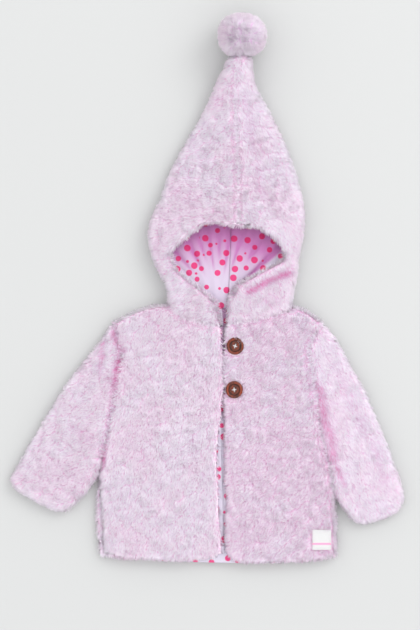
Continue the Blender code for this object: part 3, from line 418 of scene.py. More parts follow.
def turned_wood(name):
    """Waxed brown wood with fine grain, darker in its grooves."""
    settings = bpy.context.scene.jacket_trim
    material, graph = shader(
        name, 0.3, coat_weight=0.25, coat_roughness=0.14, specular_ior_level=0.35
    )
    light, dark = tuple(settings.wood_colour), tuple(settings.wood_dark)
    stretched = graph.add("ShaderNodeMapping", {"Vector": graph.place()})
    stretched.inputs["Scale"].default_value = (1.0, 0.12, 1.0)
    stretched.inputs["Rotation"].default_value = (0, 0, 0.5)
    grain, _ = graph.noise(stretched.outputs[0], 900.0, 5.0, 0.65)
    rings, _ = graph.noise(stretched.outputs[0], 260.0)
    streaks = graph.step(graph.math("ADD", grain, rings), 0.75, 1.3)
    wood = graph.mix(streaks, light, dark)
    # Darker in the grooves and towards the underside, where the groove mark is high.
    groove_dark = graph.math("MULTIPLY", graph.painted("groove"), 0.85)
    graph.feed("Base Color", graph.mix(groove_dark, wood, dark))
    graph.feed("Roughness", graph.step(grain, 0.3, 0.8, 0.26, 0.5))
    graph.bump(streaks, 0.25, 0.15)
    return material


def thread(name):
    """Twisted white thread and elastic cord."""
    settings = bpy.context.scene.jacket_trim
    material, graph = shader(name, 0.6, sheen_weight=0.3)
    inputs = {"Vector": graph.place(), "Scale": 900.0, "Distortion": 2.0}
    twist = graph.add("ShaderNodeTexWave", inputs).outputs["Fac"]
    colour = tuple(settings.thread_colour)
    dark = tuple(0.72 * c for c in colour[:3]) + (1.0,)
    graph.feed("Base Color", graph.mix(twist, dark, colour))
    graph.bump(twist, 0.4, 0.15)
    return material


def woven_label(name):
    """White woven tape with one plain stripe."""
    settings = bpy.context.scene.jacket_trim
    material, graph = shader(name, 0.7, sheen_weight=0.2)
    _, across = graph.own_map()
    off = graph.math("ABSOLUTE", graph.math("SUBTRACT", across, 0.3))
    stripe = graph.step(off, 0.045, 0.055, 1.0, 0.0)
    weave = add_weave(graph)
    weave.inputs["Threads per metre"].default_value = 3200.0
    white = graph.mix(weave.outputs["Shade"], *TAPE_COLOURS)
    graph.feed("Base Color", graph.mix(stripe, white, tuple(settings.stripe_colour)))
    graph.bump(weave.outputs["Height"], 0.4, 0.12)
    return material


# ---------------------------------------------------------------- meshes


def new_piece(name, data):
    """An object at the origin with this mesh."""
    piece = bpy.data.objects.new(name, data)
    bpy.context.scene.collection.objects.link(piece)
    return piece


def piece_of(mesh, name):
    """An object at the origin with this bmesh, which is freed."""
    data = bpy.data.meshes.new(name)
    mesh.to_mesh(data)
    mesh.free()
    return new_piece(name, data)


def merged_copy(name, node):
    """A mesh of its own with the form of a frame node, its doubled corners merged."""
    mesh = bmesh.new()
    mesh.from_mesh(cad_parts[node].data)
    bmesh.ops.remove_doubles(mesh, verts=mesh.verts, dist=0.01 * MM)
    bmesh.ops.recalc_face_normals(mesh, faces=mesh.faces)
    return piece_of(mesh, name)


def bake(piece):
    """Turns what the piece's modifiers make into its plain mesh."""
    view = bpy.context.evaluated_depsgraph_get()
    view.update()
    data = bpy.data.meshes.new_from_object(piece.evaluated_get(view))
    piece.modifiers.clear()
    old = piece.data
    piece.data = data
    bpy.data.meshes.remove(old)
    data.name = piece.name
    return piece


def modify(piece, kind, **settings):
    """Adds one modifier and bakes it."""
    modifier = piece.modifiers.new(kind.title(), kind)
    for name, value in settings.items():
        setattr(modifier, name, value)
    return bake(piece)


def corners(piece):
    """The piece's points and their normals, as two arrays of rows."""
    data = piece.data
    points = np.empty(3 * len(data.vertices))
    normals = np.empty(3 * len(data.vertices))
    data.vertices.foreach_get("co", points)
    data.vertices.foreach_get("normal", normals)
    return points.reshape(-1, 3), normals.reshape(-1, 3)


def mark(piece, name, values, kind="FLOAT"):
    """Holds a value for each point of the piece under a name."""
    layer = piece.data.attributes.new(name, kind, "POINT")
    layer.data.foreach_set("value" if kind == "FLOAT" else "vector", np.ravel(values))


def forget(piece, *names):
    """Drops values that were only needed while the piece was made."""
    for name in names:
        found = piece.data.attributes.get(name)
        if found:
            piece.data.attributes.remove(found)


def place_corners(piece, points):
    """Puts the piece's points at these rows."""
    piece.data.vertices.foreach_set("co", points.ravel())
    piece.data.update()


def smooth_faces(piece, sharp=None):
    """Shades the piece as one curved surface, broken only at edges over the sharp angle."""
    piece.data.polygons.foreach_set("use_smooth", [True] * len(piece.data.polygons))
    piece.data.update()
    if sharp:
        piece.data.set_sharp_from_angle(angle=math.radians(sharp))


def keep_above_floor(piece):
    """Lifts what would be in the floor to just over it."""
    points, _ = corners(piece)
    points[:, 2] = np.maximum(points[:, 2], FLOOR_CLEARANCE)
    place_corners(piece, points)


def dress(piece, material, slot, *nodes):
    """Gives a finished piece its material and its place in the frame."""
    piece.data.materials.clear()
    piece.data.materials.append(material)
    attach(piece, "root")
    if nodes:
        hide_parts(*nodes)
    return piece


def fade(value, low, high):
    """0 below low, 1 above high, and smooth between them."""
    share = np.clip((value - low) / (high - low), 0, 1)
    return share * share * (3 - 2 * share)


def waves(points, size, seed):
    """Soft uneven waves between -1 and 1 over the points, about this size across."""
    draws = np.random.default_rng(seed)
    total = np.zeros(len(points))
    for _ in range(14):
        direction = draws.normal(size=3)
        direction /= np.linalg.norm(direction)
        turns = 2 * math.pi / (size * draws.uniform(0.7, 1.9))
        total += np.sin(points @ direction * turns + draws.uniform(0, 2 * math.pi))
    return total / 4


def tube_mesh(mesh, path, radius, sides=8, taper=False):
    """Adds a closed round tube along the points of a path to a bmesh, thinner at its ends."""
    path = [Vector(point) for point in path]
    rings = []
    for number, point in enumerate(path):
        ahead = path[min(number + 1, len(path) - 1)] - path[max(number - 1, 0)]
        ahead.normalize()
        side = ahead.orthogonal() if abs(ahead.z) > 0.95 else ahead.cross(Vector((0, 0, 1)))
        side.normalize()
        up = side.cross(ahead)
        end = min(number, len(path) - 1 - number)
        thick = radius * min(1.0, 0.35 + 0.2 * end) if taper else radius
        ring = []
        for step in range(sides):
            angle = 2 * math.pi * step / sides
            outward = side * math.cos(angle) + up * math.sin(angle)
            ring.append(mesh.verts.new(point + outward * thick))
        rings.append(ring)
    for one, two in zip(rings, rings[1:]):
        for i in range(sides):
            j = (i + 1) % sides
            mesh.faces.new((one[i], one[j], two[j], two[i]))
    mesh.faces.new(rings[0])
    mesh.faces.new(rings[-1])


_trees = {}


def frame_surface(names):
    """These nodes of the frame as one tree for rays, and the node of each of its faces."""
    key = tuple(sorted(names))
    if key not in _trees:
        points, faces, owners = [], [], []
        for name in key:
            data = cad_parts[name].data
            start = len(points)
            points.extend(vertex.co.copy() for vertex in data.vertices)
            faces.extend([start + i for i in face.vertices] for face in data.polygons)
            owners.extend([name] * len(data.polygons))
        _trees[key] = BVHTree.FromPolygons(points, faces), owners
    return _trees[key]


# How strongly painted pink shade lies along the seam between two panels, partly the ground's own
# pink where the pile parts there.
SEAM_SHADE_TINTS = {
    frozenset(("hood_left", "hood_right")): 0.04,
    frozenset(("front_right", "hood_right")): 0.10,
    frozenset(("front_left", "hood_left")): 0.16,
    frozenset(("front_right", "sleeve_right")): 0.42,
    frozenset(("front_left", "sleeve_left")): 0.2,
    frozenset(("front_left", "front_right")): 0.5,
}
OTHER_SEAM_SHADE_TINT = 0.08
# Painted pink shade, the same all over a panel, and beside the cotton that comes out of it.
PANEL_SHADE_TINTS = {"front_left": 0.15, "sleeve_left": 0.05}
LIP_SHADE_TINT = 0.45

# How far another part may lie from a face and still cover it, over it and beside it.
INSIDE_REACH = 30 * MM
BESIDE_REACH = 5 * MM
SEAM_REACH = 2 * MM
# How much pile each ring keeps past the edge of what shows.
TURNED_IN_COVER = (0.85, 0.6, 0.3)


def sees_out(tree, start, way, reach):
    """Whether nothing is met this way, and the way doesn't only lead out through a seam."""
    middle, *sides = (
        tree.ray_cast(start + Vector((shift, 0, 0)), way, reach)[0]
        for shift in (0, -SEAM_REACH, SEAM_REACH)
    )
    return middle is None and None in sides


def keep_what_shows(piece):
    """Deletes the faces that look at another part of the garment close by.

    A face that only sees out between two parts, through their seam, counts as covered.
    A few rings past the edge of what shows are kept, so that the panels meet at their seams.
    Returns the normal of what shows at each point, and how much pile it keeps.
    """
    mesh = bmesh.new()
    mesh.from_mesh(piece.data)
    tree, _ = frame_surface(set(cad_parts) - {"pompom"})
    # A list keeps the mesh's own order, so that the sums below come out the same in each run.
    shown = []
    for face in mesh.faces:
        reach = INSIDE_REACH if abs(face.normal.z) > 0.5 else BESIDE_REACH
        if sees_out(tree, face.calc_center_median() + face.normal * MM, face.normal, reach):
            shown.append(face)
    kept = set(shown)
    for _ in TURNED_IN_COVER[1:]:
        kept |= {other for face in kept for edge in face.edges for other in edge.link_faces}
    hidden = [face for face in mesh.faces if face not in kept]
    outward = {}
    for face in shown:
        for vertex in face.verts:
            outward[vertex] = outward.get(vertex, Vector()) + face.normal
    bmesh.ops.delete(mesh, geom=hidden, context="FACES")
    cover = {vertex: 1.0 for vertex in outward}
    for share in TURNED_IN_COVER:
        found = {}
        for vertex in mesh.verts:
            if vertex not in outward:
                others = (edge.other_vert(vertex) for edge in vertex.link_edges)
                near = [outward[other] for other in others if other in outward]
                if near:
                    found[vertex] = sum(near, Vector())
        outward.update(found)
        cover.update(dict.fromkeys(found, share))
    normals = [outward.get(vertex, vertex.normal).normalized() for vertex in mesh.verts]
    open_points = [cover.get(vertex, 0.0) for vertex in mesh.verts]
    mesh.to_mesh(piece.data)
    mesh.free()
    piece.data.update()
    return np.array(normals), np.array(open_points)


def nearness(piece, normals, node):
    """What lies beside each point.

    Returns how near that is, the way to it, how much painted pink shade the seam takes, and how
    near the cotton is.
    """
    tree, _ = frame_surface(set(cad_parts) - {node})
    panels, owners = frame_surface(set(PLUSH_NODES) - {node})
    cotton, _ = frame_surface(COTTON_NODES)
    points, _ = corners(piece)
    beside, pink_shade, lined = (np.zeros(len(points)) for _ in range(3))
    toward = np.zeros((len(points), 3))
    for i, (point, normal) in enumerate(zip(points, normals)):
        across = Vector((normal[0], normal[1], 0))
        if across.length > 0.08:
            across.normalize()
            distance = tree.ray_cast(Vector(point) - Vector((0, 0, 1.5 * MM)), across, 9 * MM)[3]
            if distance is not None:
                beside[i] = 1 - fade(distance, 2 * MM, 8 * MM)
                toward[i] = across
        _, _, face, distance = panels.find_nearest(Vector(point) + Vector(normal) * MM, 7 * MM)
        if distance is not None:
            tint = SEAM_SHADE_TINTS.get(frozenset((node, owners[face])), OTHER_SEAM_SHADE_TINT)
            pink_shade[i] = tint * (1 - fade(distance, 1.0 * MM, 5 * MM))
        distance = cotton.find_nearest(Vector(point), 6 * MM)[3]
        if distance is not None:
            lined[i] = 1 - fade(distance, 2.0 * MM, 4.5 * MM)
    return beside, toward, pink_shade, lined


# ---------------------------------------------------------------- geometry nodes


def geometry_tree(name, *inputs):
    """A new geometry tree with these inputs beside its geometry."""
    geometry = ("Geometry", "Geometry")
    return new_tree(name, "GeometryNodeTree", (geometry, *inputs), (geometry,))


def grow(name, source, tree, **values):
    """A new piece with what the tree makes of the source's mesh, baked to a plain mesh."""
    piece = new_piece(name, source.data.copy())
    modifier = piece.modifiers.new(tree.name, "NODES")
    modifier.node_group = tree
    items = tree.interface.items_tree
    sockets = {item.name: item.identifier for item in items if item.in_out == "INPUT"}
    for label, value in values.items():
        modifier[sockets[label.replace("_", " ")]] = value
    return bake(piece)


def finish_tree(graph, end, mesh, material):
    """Gives the geometry its material and ends the tree."""
    painted = graph.add("GeometryNodeSetMaterial", {0: mesh, "Material": material})
    graph.join(painted.outputs[0], end.inputs["Geometry"])
    return graph.tree


def pile_tree(name):
    """Pointed locks of pile that lean together into tufts, on every face of the ground."""
    settings = bpy.context.scene.jacket_plush
    graph, start, end = geometry_tree(
        name,
        ("Locks per m2", "Float", 4e5),
        ("Length", "Float", settings.lock_length),
        ("Width", "Float", settings.lock_width),
        ("Upright", "Float", 0.6),
        ("Gather", "Float", 0.35),
        ("Tuft size", "Float", 11 * MM),
        ("Floor", "Float", 0.3 * MM),
        ("Softness", "Float", 0.85),
        ("Seed", "Int", 1),
        ("Material", "Material"),
    )
    given = start.outputs
    spread = graph.add(
        "GeometryNodeDistributePointsOnFaces",
        {
            "Mesh": given["Geometry"],
            "Density": graph.math("MULTIPLY", given["Locks per m2"], graph.held("pile")),
            "Seed": given["Seed"],
        },
        distribute_method="RANDOM",
    )
    normal = spread.outputs["Normal"]
    roots = graph.hold(spread.outputs["Points"], "ground", normal, "FLOAT_VECTOR", "POINT")
    where = graph.add("GeometryNodeInputPosition").outputs[0]
    per_tuft = graph.math("DIVIDE", 1.0, given["Tuft size"])
    tufts = graph.add("ShaderNodeTexVoronoi", {"Vector": where, "Scale": per_tuft})
    toward = graph.vector("SUBTRACT", tufts.outputs["Position"], where)
    gather = graph.math("DIVIDE", given["Gather"], given["Tuft size"])
    toward = graph.vector("SCALE", toward, scale=gather)
    _, drift = graph.noise(where, 90.0)
    drift = graph.vector("SCALE", graph.vector("SUBTRACT", drift, (0.5,) * 3), scale=0.95)
    jumble = graph.add(
        "FunctionNodeRandomValue",
        {0: (-0.25,) * 3, 1: (0.25,) * 3, "Seed": given["Seed"]},
        data_type="FLOAT_VECTOR",
    )
    lean = graph.vector("ADD", toward, drift)
    lean = graph.vector("ADD", lean, jumble.outputs[0])
    lean = graph.vector("ADD", lean, graph.held("nap", "FLOAT_VECTOR"))
    ground = graph.held("ground", "FLOAT_VECTOR")
    sunk = graph.vector("DOT_PRODUCT", lean, ground)
    lean = graph.vector("SUBTRACT", lean, graph.vector("SCALE", ground, scale=sunk))
    direction = graph.vector("ADD", graph.vector("SCALE", ground, scale=given["Upright"]), lean)
    turn = graph.add("FunctionNodeAlignRotationToVector", {"Vector": direction}, axis="Z")
    roll = {"Axis": (0, 0, 1), "Angle": graph.draw(0.0, 2 * math.pi, 7)}
    spin = graph.add("FunctionNodeAxisAngleToRotation", roll)
    both = {0: turn.outputs[0], 1: spin.outputs[0]}
    rotation = graph.add("FunctionNodeRotateRotation", both, rotation_space="LOCAL")
    cone = graph.add(
        "GeometryNodeMeshCone",
        {
            "Vertices": 3,
            "Side Segments": 1,
            "Radius Top": 0.0,
            "Radius Bottom": graph.math("MULTIPLY", given["Width"], 0.58),
            "Depth": given["Length"],
        },
        fill_type="NONE",
    )
    height = graph.add("ShaderNodeSeparateXYZ", {0: where}).outputs["Z"]
    share = graph.math("DIVIDE", height, given["Length"])
    lock = graph.hold(cone.outputs["Mesh"], "along", share, "FLOAT", "POINT")
    grown = graph.add(
        "GeometryNodeInstanceOnPoints",
        {
            "Points": roots,
            "Instance": lock,
            "Rotation": rotation.outputs[0],
            "Scale": graph.draw(0.78, 1.1, 3),
        },
    ).outputs[0]
    shaded = graph.hold(grown, "shade", graph.draw(0.0, 1.0, 5), "FLOAT", "INSTANCE")
    real = graph.add("GeometryNodeRealizeInstances", {0: shaded})
    low = graph.add("ShaderNodeSeparateXYZ", {0: where}).outputs
    level = graph.math("MAXIMUM", low["Z"], given["Floor"])
    raised = graph.add("ShaderNodeCombineXYZ", {"X": low["X"], "Y": low["Y"], "Z": level})
    moved = {"Geometry": real.outputs[0], "Position": raised.outputs[0]}
    clear = graph.add("GeometryNodeSetPosition", moved)
    # U carries each lock's own shade and the painted pink shade of the crease mark.
    shade = graph.math("MULTIPLY", graph.held("shade"), 0.4)
    shade = graph.math("MULTIPLY_ADD", graph.held("crease"), 0.6, shade)
    pair = graph.add("ShaderNodeCombineXYZ", {"X": shade, "Y": graph.held("along"), "Z": 0.0})
    mapped = graph.hold(clear.outputs[0], "OFBake", pair.outputs[0], "FLOAT2", "CORNER")
    smooth = graph.add("GeometryNodeSetShadeSmooth", {0: mapped})
    own = graph.add("GeometryNodeInputNormal").outputs[0]
    blend = {0: given["Softness"], 4: own, 5: ground}
    soft = graph.add("ShaderNodeMix", blend, data_type="VECTOR", clamp_factor=True).outputs[1]
    eased = graph.add("GeometryNodeSetMeshNormal", mode="FREE", domain="POINT")
    graph.join(smooth.outputs[0], eased.inputs["Mesh"])
    graph.join(graph.vector("NORMALIZE", soft), eased.inputs["Custom Normal"])
    return finish_tree(graph, end, eased.outputs[0], given["Material"])


def stitch_tree(name):
    """Short stitches of thread, one after another along the source's edges."""
    graph, start, end = geometry_tree(
        name,
        ("Pitch", "Float", 2.4 * MM),
        ("Length", "Float", 1.7 * MM),
        ("Thread", "Float", 0.45 * MM),
        ("Material", "Material"),
    )
    given = start.outputs
    curve = graph.add("GeometryNodeMeshToCurve", {"Mesh": given["Geometry"]})
    steps = graph.add("GeometryNodeResampleCurve", {"Curve": curve.outputs[0]}, mode="LENGTH")
    graph.join(given["Pitch"], steps.inputs["Length"])
    tangent = graph.add("GeometryNodeInputTangent").outputs[0]
    turn = graph.add("FunctionNodeAlignRotationToVector", {"Vector": tangent}, axis="X")
    ball = graph.add("GeometryNodeMeshUVSphere", {"Segments": 6, "Rings": 5, "Radius": 0.5})
    reach = {"X": given["Length"], "Y": given["Thread"], "Z": given["Thread"]}
    size = graph.add("ShaderNodeCombineXYZ", reach)
    sewn = graph.add(
        "GeometryNodeInstanceOnPoints",
        {
            "Points": steps.outputs[0],
            "Instance": ball.outputs["Mesh"],
            "Rotation": turn.outputs[0],
            "Scale": size.outputs[0],
        },
    )
    real = graph.add("GeometryNodeRealizeInstances", {0: sewn.outputs[0]})
    smooth = graph.add("GeometryNodeSetShadeSmooth", {0: real.outputs[0]})
    return finish_tree(graph, end, smooth.outputs[0], given["Material"])


# ---------------------------------------------------------------- plush


# What the locks and the ground no longer need once the pile has grown.
SKIN_MARKS = ("nap", "pile")
LOCK_MARKS = ("along", "shade", "ground", "crease", *SKIN_MARKS)
# The way the pile lies on each panel.
NAPS = {
    "back": (0.0, -0.5, 0.0),
    "front_right": (-0.2, -0.5, 0.0),
    "front_left": (-0.4, -0.35, 0.0),
    "sleeve_right": (-0.45, -0.25, 0.0),
    "sleeve_left": (0.4, -0.6, 0.0),
    "hood_right": (-0.45, -0.25, 0.0),
    "hood_left": (0.25, -0.5, 0.0),
}

# Soft troughs from one place to another, in mm, and how much painted pink shade lies in them.
CREASES = table(
    "x1 y1 x2 y2 width depth tint",
    (-148, 132, -151, 84, 7, 2.2, 0.35),
    (-148, 81, -131, 82, 4, 1.6, 0.4),
    (-137, 142, -126, 115, 5, 1.6, 0.5),
    (-117, 122, -126, 114, 5, 1.6, 0.45),
    (-127, 112, -135, 60, 7, 2.0, 0.75),
    (-135, 60, -150, -40, 5, 1.2, 0.5),
    (-143, -20, -104, -34, 14, 0.8, 0.0),
    (-190, 20, -150, -8, 10, 1.2, 0.15),
    (147, 105, 221, -58, 15, 2.2, 0.16),
    (128, 78, 152, -30, 12, 1.8, 0.42),
    (152, -30, 164, -60, 6, 1.0, 0.5),
    (81, 75, 112, 6, 13, 1.8, 0.12),
    (31, -13, 61, -42, 11, 1.4, 0.08),
    (112, -13, 139, -72, 12, 1.5, 0.1),
    (92, 107, 118, 60, 12, 1.3, 0.1),
    (-60, 143, -15, 70, 13, 1.3, 0.06),
    (-35, 20, -22, -60, 11, 1.4, 0.06),
    (-105, 10, -80, -80, 14, 1.2, 0.05),
    (-70, 130, -95, 165, 10, 1.0, 0.1),
    (33, 450, 57, 312, 13, 2.2, 0.16),
    (-14, 455, 8, 438, 6, 1.4, 0.2),
    (-40, 395, -6, 352, 12, 1.5, 0.08),
    (-62, 330, -22, 300, 12, 1.3, 0.1),
    (32, 193, 97, 223, 9, 2.8, 1.0),
    (-80, 262, -72, 200, 9, 1.4, 0.12),
    (45, 180, 88, 186, 10, 1.2, 0.12),
)


def creases(points, normals):
    """How deep the soft troughs of the cloth sink these points, and how much painted pink shade
    lies in them.
    """
    depth = np.zeros(len(points))
    tint = np.zeros(len(points))
    upward = fade(normals[:, 2], 0.1, 0.6)
    for x1, y1, x2, y2, width, sink, pink in zip(*CREASES.values()):
        start, end = np.array((x1, y1)) * MM, np.array((x2, y2)) * MM
        length = np.linalg.norm(end - start)
        ahead = (end - start) / length
        away = points[:, :2] - start
        along = away @ ahead
        wander = 0.12 * width * MM * np.sin(along / (9 * MM) + x1)
        across = away @ np.array((-ahead[1], ahead[0])) + wander
        ends = fade(along, -0.4 * width * MM, 0.8 * width * MM)
        ends *= fade(length - along, -0.4 * width * MM, 0.8 * width * MM)
        trough = np.exp(-((across / (0.5 * width * MM)) ** 2)) * ends * upward
        depth += trough * sink * MM
        tint = np.maximum(tint, trough * min(1.7 * pink, 1.0))
    return depth, tint


# By the cotton of a panel's edge: how far the pile is worn away, in mm, and how much.
BARE_EDGES = {
    "front_right": ("front_right_facing", 5.0, 0.85),
    "hood_right": ("hood_lining_right", 3.0, 0.5),
}


def bare(points, node):
    """How far the pile is worn away beside the cotton that rolls out of a panel's edge."""
    if node == "front_left":
        found = np.zeros(len(points))
        for trim in ("button_upper", "button_lower", "label"):
            low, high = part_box(trim)
            middle = (low + high) / 2
            off = points[:, :2] - np.array((middle.x, middle.y))
            away = np.hypot(*off.T) if trim != "label" else np.abs(off).max(1)
            reach = high.x - middle.x
            found = np.maximum(found, 1 - fade(away, reach + 1.2 * MM, reach + 4 * MM))
        return found
    if node not in BARE_EDGES:
        return np.zeros(len(points))
    cotton, reach, share = BARE_EDGES[node]
    tree, _ = frame_surface([cotton])
    away = np.array([tree.find_nearest(Vector(point))[3] for point in points])
    found = share * (1 - fade(away, reach * MM, (reach + 1.5) * MM))
    if node == "hood_right":
        found *= fade(-points[:, 0], 2 * MM, 12 * MM) * fade(-points[:, 1], -262 * MM, -250 * MM)
    return found


def under_cotton(points):
    """1 where a lining lies over a point, or on both sides of it as at the lining's own seam."""
    cotton, _ = frame_surface(COTTON_NODES)
    lift, up = Vector((0, 0, 0.2 * MM)), Vector((0, 0, 1))
    covered = [not sees_out(cotton, Vector(p) + lift, up, INSIDE_REACH) for p in points]
    return np.array(covered, float)


# Where a panel's own thickness is measured, and the share of it that the ground may sink.
SKIN_DEPTH = 1.0 * MM
EDGE_DEPTH = 2.5 * MM
THIN_SHARE = 0.38
# How far under a point the cotton matters, what is left over it and the least sink there.
COTTON_REACH = 14 * MM
COTTON_SPARE = 0.8 * MM
LEAST_SINK = 0.3 * MM
NO_END = 1.0


def room_to_sink(points, normals, node):
    """How far each point may sink before the ground would meet its own other side or the cotton."""
    settings = bpy.context.scene.jacket_plush
    own, _ = frame_surface([node])
    cotton, _ = frame_surface(COTTON_NODES)
    room = np.zeros(len(points))
    for i, (point, normal) in enumerate(zip(points, normals)):
        point, inward = Vector(point), -Vector(normal)
        through = own.ray_cast(point + inward * SKIN_DEPTH, inward)[3]
        through = NO_END if through is None else through + SKIN_DEPTH
        middle = point + inward * min(EDGE_DEPTH, through / 2)
        upward, downward = (own.ray_cast(middle, Vector((0, 0, side)))[3] for side in (1, -1))
        if upward is not None and downward is not None:
            through = min(through, upward + downward)
        room[i] = THIN_SHARE * through
        for way in (inward, Vector((0, 0, -1 if normal[2] > 0 else 1))):
            distance = cotton.ray_cast(point, way, COTTON_REACH)[3]
            if distance is not None:
                spare = distance - settings.ground_thickness - COTTON_SPARE
                room[i] = min(room[i], max(spare, LEAST_SINK))
    return room


# The ground's soft unevenness, how far it sinks where there is no pile, its lowest level, and
# the height under which a face that looks down is the underside.
SWELL_SIZE = 34 * MM
SWELL_HEIGHT = 0.7 * MM
BARE_SINK = 0.4 * MM
LOWEST_GROUND = 0.4 * MM
UNDERSIDE_HEIGHT = 12 * MM


def plush_skin(node):
    """The knitted ground of one panel: what shows of its form, sunk by the pile's height."""
    settings = bpy.context.scene.jacket_plush
    piece = merged_copy("plush_" + node, node)
    modify(piece, "REMESH", mode="VOXEL", voxel_size=settings.skin_cell, use_smooth_shade=True)
    normals, shown = keep_what_shows(piece)
    beside, toward, pink_shade, lined = nearness(piece, normals, node)
    points, _ = corners(piece)
    under = fade(-normals[:, 2], 0.25, 0.75)
    pile = 1 - under * fade(UNDERSIDE_HEIGHT - points[:, 2], 0, 3 * MM)
    swell = waves(points, SWELL_SIZE, settings.seed) * SWELL_HEIGHT
    sink = pile * (settings.pile_height - swell) + (1 - pile) * BARE_SINK
    # Beside another panel the ground goes straight down, so that the seam stays closed.
    upright = np.zeros_like(normals)
    upright[:, 2] = fade(normals[:, 2], -0.3, 0.2)
    away = normals * (1 - beside)[:, None] + upright * beside[:, None]
    away[:, :2] *= (1 - 0.75 * lined)[:, None]
    sink *= 1 - 0.5 * np.maximum(beside * fade(normals[:, 2], -0.2, 0.3), 0.6 * lined)
    # The pink of the creases, seams and lips and of some whole panels is painted shade, held as the
    # crease mark.
    depth, tint = creases(points, normals)
    base = np.full(len(points), PANEL_SHADE_TINTS.get(node, 0))
    pink_shade = np.maximum.reduce((pink_shade, tint, LIP_SHADE_TINT * lined, base))
    pile_share = pile * shown * (1 - bare(points, node)) * (1 - under_cotton(points))
    total = np.minimum(sink + pile * depth, room_to_sink(points, normals, node))
    points = points - away * total[:, None]
    points[:, 2] = np.maximum(points[:, 2], LOWEST_GROUND)
    place_corners(piece, points)
    mark(piece, "pile", pile_share)
    mark(piece, "crease", pink_shade)
    nap = np.tile(NAPS[node], (len(points), 1)) * (1 - beside * (1 - lined))[:, None]
    nap += toward * (0.7 * beside * (1 - lined))[:, None]
    mark(piece, "nap", nap, "FLOAT_VECTOR")
    return piece


class JACKET_OT_plush(bpy.types.Operator):
    """Builds the plush panels of the body, the sleeves and the hood"""

    bl_idname = "jacket.plush"
    bl_label = "Plush panels"

    def execute(self, context):
        settings = context.scene.jacket_plush
        ground = cached("plush ground", plush_ground)
        fur = cached("plush pile", plush_pile)
        for number, node in enumerate(PLUSH_NODES):
            skin = plush_skin(node)
            pile = grow(
                "pile_" + node,
                skin,
                cached("Pile", pile_tree, "node_groups"),
                Locks_per_m2=1e4 * settings.locks_per_cm2,
                Seed=settings.seed + number,
                Material=fur,
            )
            forget(pile, *LOCK_MARKS)
            forget(skin, *SKIN_MARKS)
            modify(skin, "SOLIDIFY", thickness=settings.ground_thickness, offset=-1.0)
            keep_above_floor(skin)
            smooth_faces(skin)
            dress(skin, ground, "plush", node)
            dress(pile, fur, "plush")
        return {"FINISHED"}


def round_core(name, middle, reach):
    """A ball of even faces with these half sizes, a little lumpy."""
    mesh = bmesh.new()
    bmesh.ops.create_icosphere(mesh, subdivisions=4, radius=1.0)
    rows = np.array([vertex.co for vertex in mesh.verts])
    squarish = (np.abs(rows) ** 2.5).sum(1) ** (-1 / 2.5)
    lumps = squarish * (1 + 0.025 * waves(rows, 0.9, 5)) * 0.97
    for vertex, lump in zip(mesh.verts, lumps):
        spot = Vector([vertex.co[i] * reach[i] * lump for i in range(3)])
        vertex.co = middle + spot
    return piece_of(mesh, name)


class JACKET_OT_pompom(bpy.types.Operator):
    """Builds the fluffy ball on the hood's tip"""

    bl_idname = "jacket.pompom"
    bl_label = "Pompom"

    def execute(self, context):
        settings = context.scene.jacket_plush
        low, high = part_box("pompom")
        middle = (low + high) / 2 - Vector((1.0, 2.5, 0)) * MM
        core = round_core("pompom_core", middle, (high - low) / 2 - Vector((8, 8.5, 8)) * MM)
        points, _ = corners(core)
        mark(core, "pile", np.ones(len(points)))
        mark(core, "nap", np.zeros_like(points), "FLOAT_VECTOR")
        # Painted pink shade on the pompom's lower side, where it meets the hood's tip.
        mark(core, "crease", 0.6 * fade(low.y + 8 * MM - points[:, 1], 0, 8 * MM))
        locks = grow(
            "pompom_locks",
            core,
            cached("Pile", pile_tree, "node_groups"),
            Locks_per_m2=2.6e6,
            Length=9.5 * MM,
            Width=1.5 * MM,
            Upright=0.85,
            Gather=0.5,
            Tuft_size=6 * MM,
            Softness=0.5,
            Seed=settings.seed + 20,
            Material=cached("pompom pile", pompom_pile),
        )
        forget(locks, *LOCK_MARKS)
        forget(core, *SKIN_MARKS)
        smooth_faces(core)
        dress(core, cached("plush ground", plush_ground), "plush", "pompom")
        dress(locks, cached("pompom pile", pompom_pile), "plush")
        return {"FINISHED"}


# ---------------------------------------------------------------- lining


SHARP_EDGE = 50
# Where the pleats meet, and their angles in degrees, widths, depths and starts in mm from there.
THROAT = np.array((2.6, 178.0)) * MM
PLEATS = table(
    "angle width depth start",
    (146, 5.0, 1.5, 60),
    (131, 4.0, 1.3, 40),
    (118, 4.5, 1.6, 35),
    (108, 3.0, 1.0, 50),
    (100, 3.0, 1.2, 30),
    (91, 2.6, 1.0, 45),
    (82, 3.4, 1.4, 30),
    (72, 3.2, 1.3, 35),
    (57, 3.6, 2.2, 60),
    (43, 4.4, 2.4, 15),
    (30, 4.0, 1.0, 55),
)


